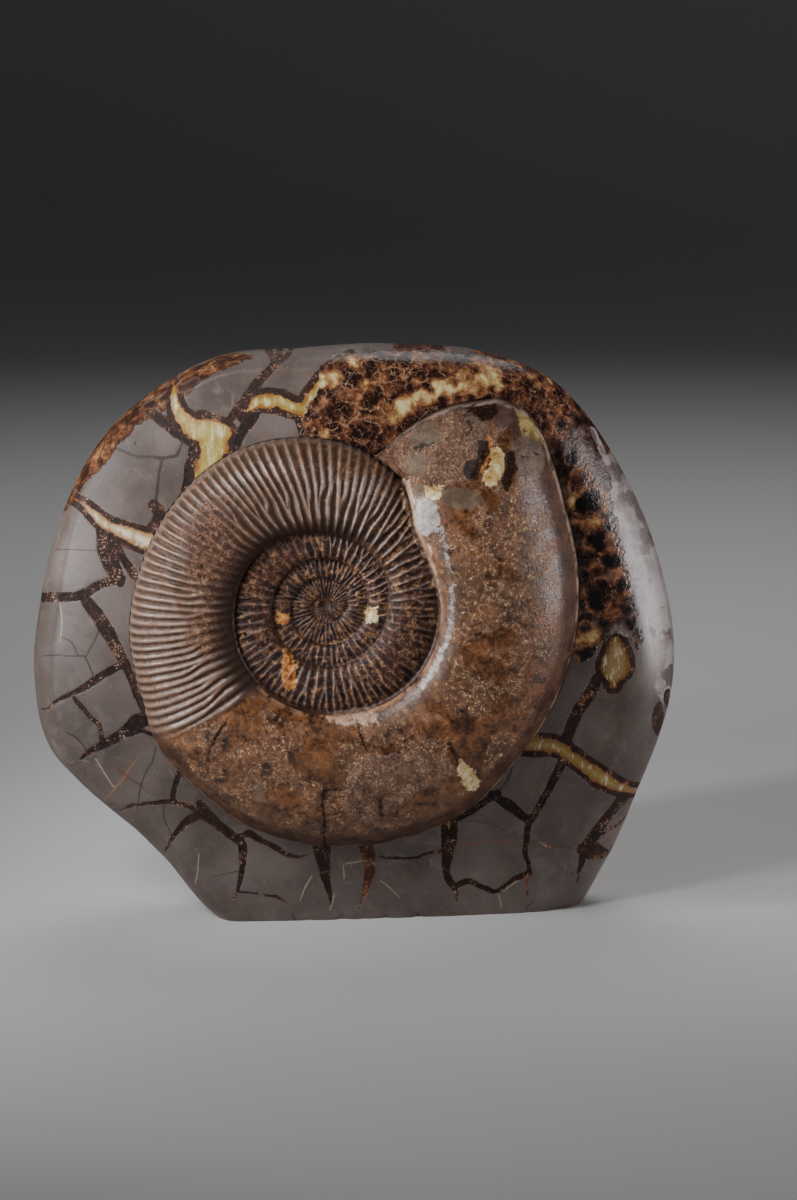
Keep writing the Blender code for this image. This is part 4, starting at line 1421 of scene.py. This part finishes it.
def body_chamber(g, outer_slope_shade, scribble, groove, grit, mottle, broad):
    """Brown stone with the lace of the sutures, rust, grey blotches and pits, and painted shade on
    the outer slope.
    """
    tone = g.add(g.times(broad, 0.52), g.times(mottle, 0.34), g.times(grit, 0.14))
    greyed = g.step(g.add(g.mark("greyed"), mottle), 0.80, 0.92, 0.0, 0.35)
    pit = g.times(g.step(grit, 0.35, 0.31), g.step(broad, 0.44, 0.54))
    return g.painted(
        g.ramp(tone, 0.38, (16, 7, 4), 0.44, (55, 22, 10), 0.51, (122, 50, 21),
               0.59, (195, 79, 31), 0.70, (290, 150, 75)),
        (g.times(g.mark("olive"), 0.35), (80, 43, 20)),
        (g.step(g.add(g.mark("rusty"), broad), 0.84, 1.0, 0.0, 0.45), (150, 55, 22)),
        (greyed, (175, 130, 105)),
        (g.times(groove, 0.5), (32, 13, 7)),
        (g.times(scribble, 0.9), g.ramp(mottle, 0.47, (380, 190, 80), 0.60, (720, 470, 240))),
        (g.times(pit, 0.6), (20, 10, 6)),
        # Painted shade: the outer slope darkened.
        (g.times(outer_slope_shade, 0.8), g.ramp(broad, 0.40, (30, 13, 9), 0.60, (66, 32, 21))))


def patched(g, surface, fine, mottle, broad):
    """The surface with its patches of calcite and shell and a painted highlight, and how much each
    one covers.
    """
    covers = {}
    for name, amount, low, high, share, colour in (
        ("grey", 1.6, -0.4, 0.4, 0.8, g.ramp(broad, 0.4, (85, 58, 38), 0.6, (150, 110, 78))),
        ("pale", 2.0, -0.2, 0.8, 0.9, g.ramp(mottle, 0.40, (170, 80, 45), 0.6, (500, 340, 240))),
        # The painted highlight is a pale streak painted where a highlight falls.
        ("painted_highlight", 2.0, -0.8, 1.2, 0.9, g.ramp(mottle, 0.4, (200, 160, 150), 0.6, (400, 350, 340))),
        ("yellow", 2.2, -0.3, 0.9, 1.0, g.ramp(
            g.add(g.times(broad, 0.5), g.times(mottle, 0.5)),
            0.38, (220, 100, 25), 0.47, (420, 280, 100), 0.60, (640, 550, 340))),
        ("honey", 3.0, -0.6, 2.4, 0.9, g.ramp(broad, 0.40, (150, 85, 26), 0.60, (360, 270, 100))),
        ("orange", 2.0, -0.3, 0.9, 1.0, g.ramp(
            mottle, 0.38, (110, 24, 4), 0.52, (400, 150, 30), 0.66, (600, 360, 140))),
        ("black", 2.2, -0.9, 0.1, 0.95, g.mix(g.step(fine, 0.54, 0.66), (11, 5, 3), (85, 36, 18))),
        ("crack", 4.0, -0.3, 0.5, 0.85, (12, 6, 5)),
    ):
        covers[name] = g.ragged(name, mottle, amount, low, high)
        surface = g.mix(g.times(covers[name], share), surface, colour)
    return surface, covers


def shell_material():
    g = Graph("fossil_shell")
    share, turn, outer, worn = (g.mark(name) for name in ("share", "turn", "outer", "worn"))
    ribbed = g.mark("ribbed")
    bare = g.rest(ribbed)
    fine = g.noise(1.5, 3.0, 0.72)
    mottle = g.noise(4.5, 4.0, 0.7, 0.6)
    broad = g.noise(14, 4.0, 0.65, 0.5)
    grit = g.noise(2.2, 1.0, 0.5)

    # Where each kind of surface is
    outer_turn = g.step(turn, 0.12, 0.2)
    inner_turns = g.times(g.step(turn, 0.22, 0.05), g.step(broad, 0.36, 0.50, 0.35, 1.0))
    height = g.stirred(g.mark("rib"), mottle, 0.7)
    rubbed = g.step(g.stirred(worn, broad, 2.0), -0.1, 1.1)
    laced = g.step(g.stirred(g.mark("laced"), broad, 1.4), 0.28, 0.60)
    lace = g.math("ABSOLUTE", g.math("SUBTRACT", g.noise(5.6, 0.0, 0.5, 3.6), 0.5))
    stroke = g.times(laced, g.step(mottle, 0.47, 0.53))
    scribble = g.times(g.step(lace, 0.052, 0.028), stroke, g.step(grit, 0.40, 0.48, 0.10, 1.0))
    groove = g.times(g.step(lace, 0.13, 0.06), laced, g.step(mottle, 0.40, 0.48))
    # The body chamber's outer slope, where shade is painted.
    outer_slope_shade = g.step(g.stirred(outer, mottle, 0.10), 0.82, 0.90)
    rough = g.times(g.ragged("rough", broad, 4.0, -0.8, 1.2), bare)
    gloss = g.times(g.ragged("gloss", mottle, 1.6, -0.3, 0.5), g.step(grit, 0.40, 0.45), bare)
    wall = g.times(g.step(share, 0.20, 0.06), ribbed, outer_turn)
    seam = g.step(g.stirred(g.mark("seam"), mottle, 1.6), 2.6, 0.2)
    hem = g.times(g.step(g.stirred(outer, mottle, 0.08), 0.955, 0.985), ribbed)
    rim_line = g.times(g.step(outer, 0.968, 0.980), g.step(outer, 0.998, 0.988), bare)
    lip = g.times(g.step(share, 0.045, 0.015), g.step(turn, 0.16, 0.24), bare,
                  g.step(broad, 0.40, 0.55))
    granular = g.ramp(
        g.add(g.times(fine, 0.50), g.times(mottle, 0.30), g.times(broad, 0.20)),
        0.38, (26, 10, 6), 0.46, (90, 42, 24), 0.53, (155, 80, 48), 0.61, (400, 260, 170))

    colour = g.painted(
        body_chamber(g, outer_slope_shade, scribble, groove, grit, mottle, broad),
        (ribbed, ribbed_shell(g, height, rubbed, inner_turns, outer_turn, fine, mottle, broad)),
        (g.times(rough, 0.9), granular))
    colour, covers = patched(g, colour, fine, mottle, broad)
    # Painted shade in the seams between the turns and on the outer turn's inner wall, pale matrix
    # left round the outside
    colour = g.painted(
        colour,
        (g.times(seam, g.step(turn, -2.2, -0.8), 0.75), (26, 13, 9)),
        (g.times(hem, 0.85), g.ramp(mottle, 0.38, (70, 44, 33), 0.6, (120, 78, 58))),
        (g.times(rim_line, g.step(broad, 0.40, 0.56), 0.6), (340, 250, 190)),
        (g.times(lip, 0.65), (330, 200, 135)),
        # Painted shade on the outer turn's inner wall.
        (g.times(g.step(share, 0.30, 0.08), ribbed, outer_turn, 0.88), (20, 10, 7)))

    smooth = g.layered(g.scaled(g.add(broad, laced), 0.20, 0.06), (ribbed, 0.24), (outer_slope_shade, 0.40))
    roughness = g.highest(g.layered(
        g.stirred(smooth, mottle, 0.30),
        (g.times(inner_turns, ribbed, 0.8), 0.48), (wall, 0.75), (gloss, 0.13), (rough, 0.60),
        (covers["black"], 0.55), (g.times(worn, 0.9), 0.58), (g.times(hem, 0.9), 0.75),
        (covers["painted_highlight"], 0.16)), 0.14)
    shine = g.layered(
        g.step(height, 0.1, 0.8, 0.16, 0.54), (g.times(rubbed, 0.9), 0.18), (wall, 0.10))
    flat = g.highest(g.times(outer_slope_shade, g.rest(gloss), 0.75), g.times(covers["grey"], 0.75))
    specular = g.layered(
        g.blend(flat, 0.42, 0.08), (ribbed, shine),
        (g.highest(covers["black"], covers["crack"]), 0.05), (g.times(rough, 0.9), 0.24))
    grain = g.add(g.times(rough, 1.4), g.times(bare, 0.30), 0.12)
    relief_height = g.add(
        g.times(mottle, 0.45), g.times(fine, grain),
        g.times(g.math("SUBTRACT", scribble, groove), bare, 0.16), g.times(worn, mottle, 0.9),
        g.times(inner_turns, fine, 0.5))
    return g.finish(colour, roughness, specular, relief_height)


# ---- room and light ----------------------------------------------------------------------

def area_light(name, at, target, size, power, colour, spread):
    data = bpy.data.lights.new(name, "AREA")
    data.spread = math.radians(spread)
    data.shape = "RECTANGLE"
    data.size, data.size_y = size
    data.energy = power
    data.color = colour
    lamp = bpy.data.objects.new(name, data)
    lamp.visible_camera = False
    bpy.context.scene.collection.objects.link(lamp)
    lamp.location = at
    way = Vector(target) - Vector(at)
    lamp.rotation_euler = way.to_track_quat("-Z", "Y").to_euler()


def plain_material(name, colour, roughness):
    g = Graph(name)
    g.feed(g.shader.inputs["Base Color"], colour)
    g.shader.inputs["Roughness"].default_value = roughness
    return g.material


def make_room():
    """A pale round floor that sweeps up into a wall on every side, in faint light."""
    radius, bend, top, steps, around = 4.3, 0.9, 3.6, 12, 96
    profile = [(0.8, 0.0), (radius - bend, 0.0)]
    for k in range(1, steps + 1):
        a = math.pi / 2 * k / steps
        profile.append((radius - bend + bend * math.sin(a), bend - bend * math.cos(a)))
    profile.append((radius, top))
    turns = [2 * math.pi * k / around for k in range(around)]
    points = [(r * math.cos(a), r * math.sin(a), z) for r, z in profile for a in turns]
    points.append((0.0, 0.0, 0.0))
    faces = [face[::-1] for face in ring_quads(len(profile), around)]
    faces += [(k, (k + 1) % around, len(points) - 1) for k in range(around)]
    mesh = bpy.data.meshes.new("floor")
    mesh.from_pydata(points, [], faces)
    mesh.shade_smooth()
    floor = bpy.data.objects.new("floor", mesh)
    bpy.context.scene.collection.objects.link(floor)
    mesh.materials.append(plain_material("studio_floor", (530, 525, 520), 0.8))

    world = bpy.data.worlds.new("studio")
    world.use_nodes = True
    background = world.node_tree.nodes["Background"].inputs
    background["Color"].default_value = (0.9, 0.93, 1.0, 1.0)
    background["Strength"].default_value = 0.05
    bpy.context.scene.world = world


COOL, WARM, WHITE = (0.95, 0.97, 1.0), (1.0, 0.965, 0.985), (1, 1, 1)
# Lights: name, place, target, size, watts, colour, spread in degrees; lengths in metres.
LIGHTS = [
    ("key", (-0.38, -0.42, 0.64), (-0.06, -0.03, 0.32), (0.18, 0.22), 0.64, WHITE, 64),
    ("sheen", (-0.66, -0.74, 0.26), (-0.24, 0.0, 0.24), (0.26, 0.46), 0.45, COOL, 60),
    ("left", (-0.85, -0.30, 0.46), (0.0, -0.03, 0.33), (0.06, 0.42), 2.4, COOL, 85),
    ("low", (-0.50, -0.50, 0.07), (0.07, -0.07, 0.25), (0.06, 0.12), 0.07, COOL, 40),
    ("side", (1.05, -0.25, 0.36), (0.15, 0.0, 0.42), (0.34, 0.70), 1.65, WARM, 60),
    ("top", (0.2, 1.3, 2.6), (0.1, 0.6, 0.2), (2.2, 1.4), 17, WHITE, 120),
]

make_camera()
nodule = build_nodule()
nodule.data.materials.append(stone_material())
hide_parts("nodule")
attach(nodule, "root")
ammonite = build_ammonite()
ammonite.data.materials.append(shell_material())
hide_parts("ammonite")
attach(ammonite, "root")
make_room()
for light in LIGHTS:
    area_light(*light)
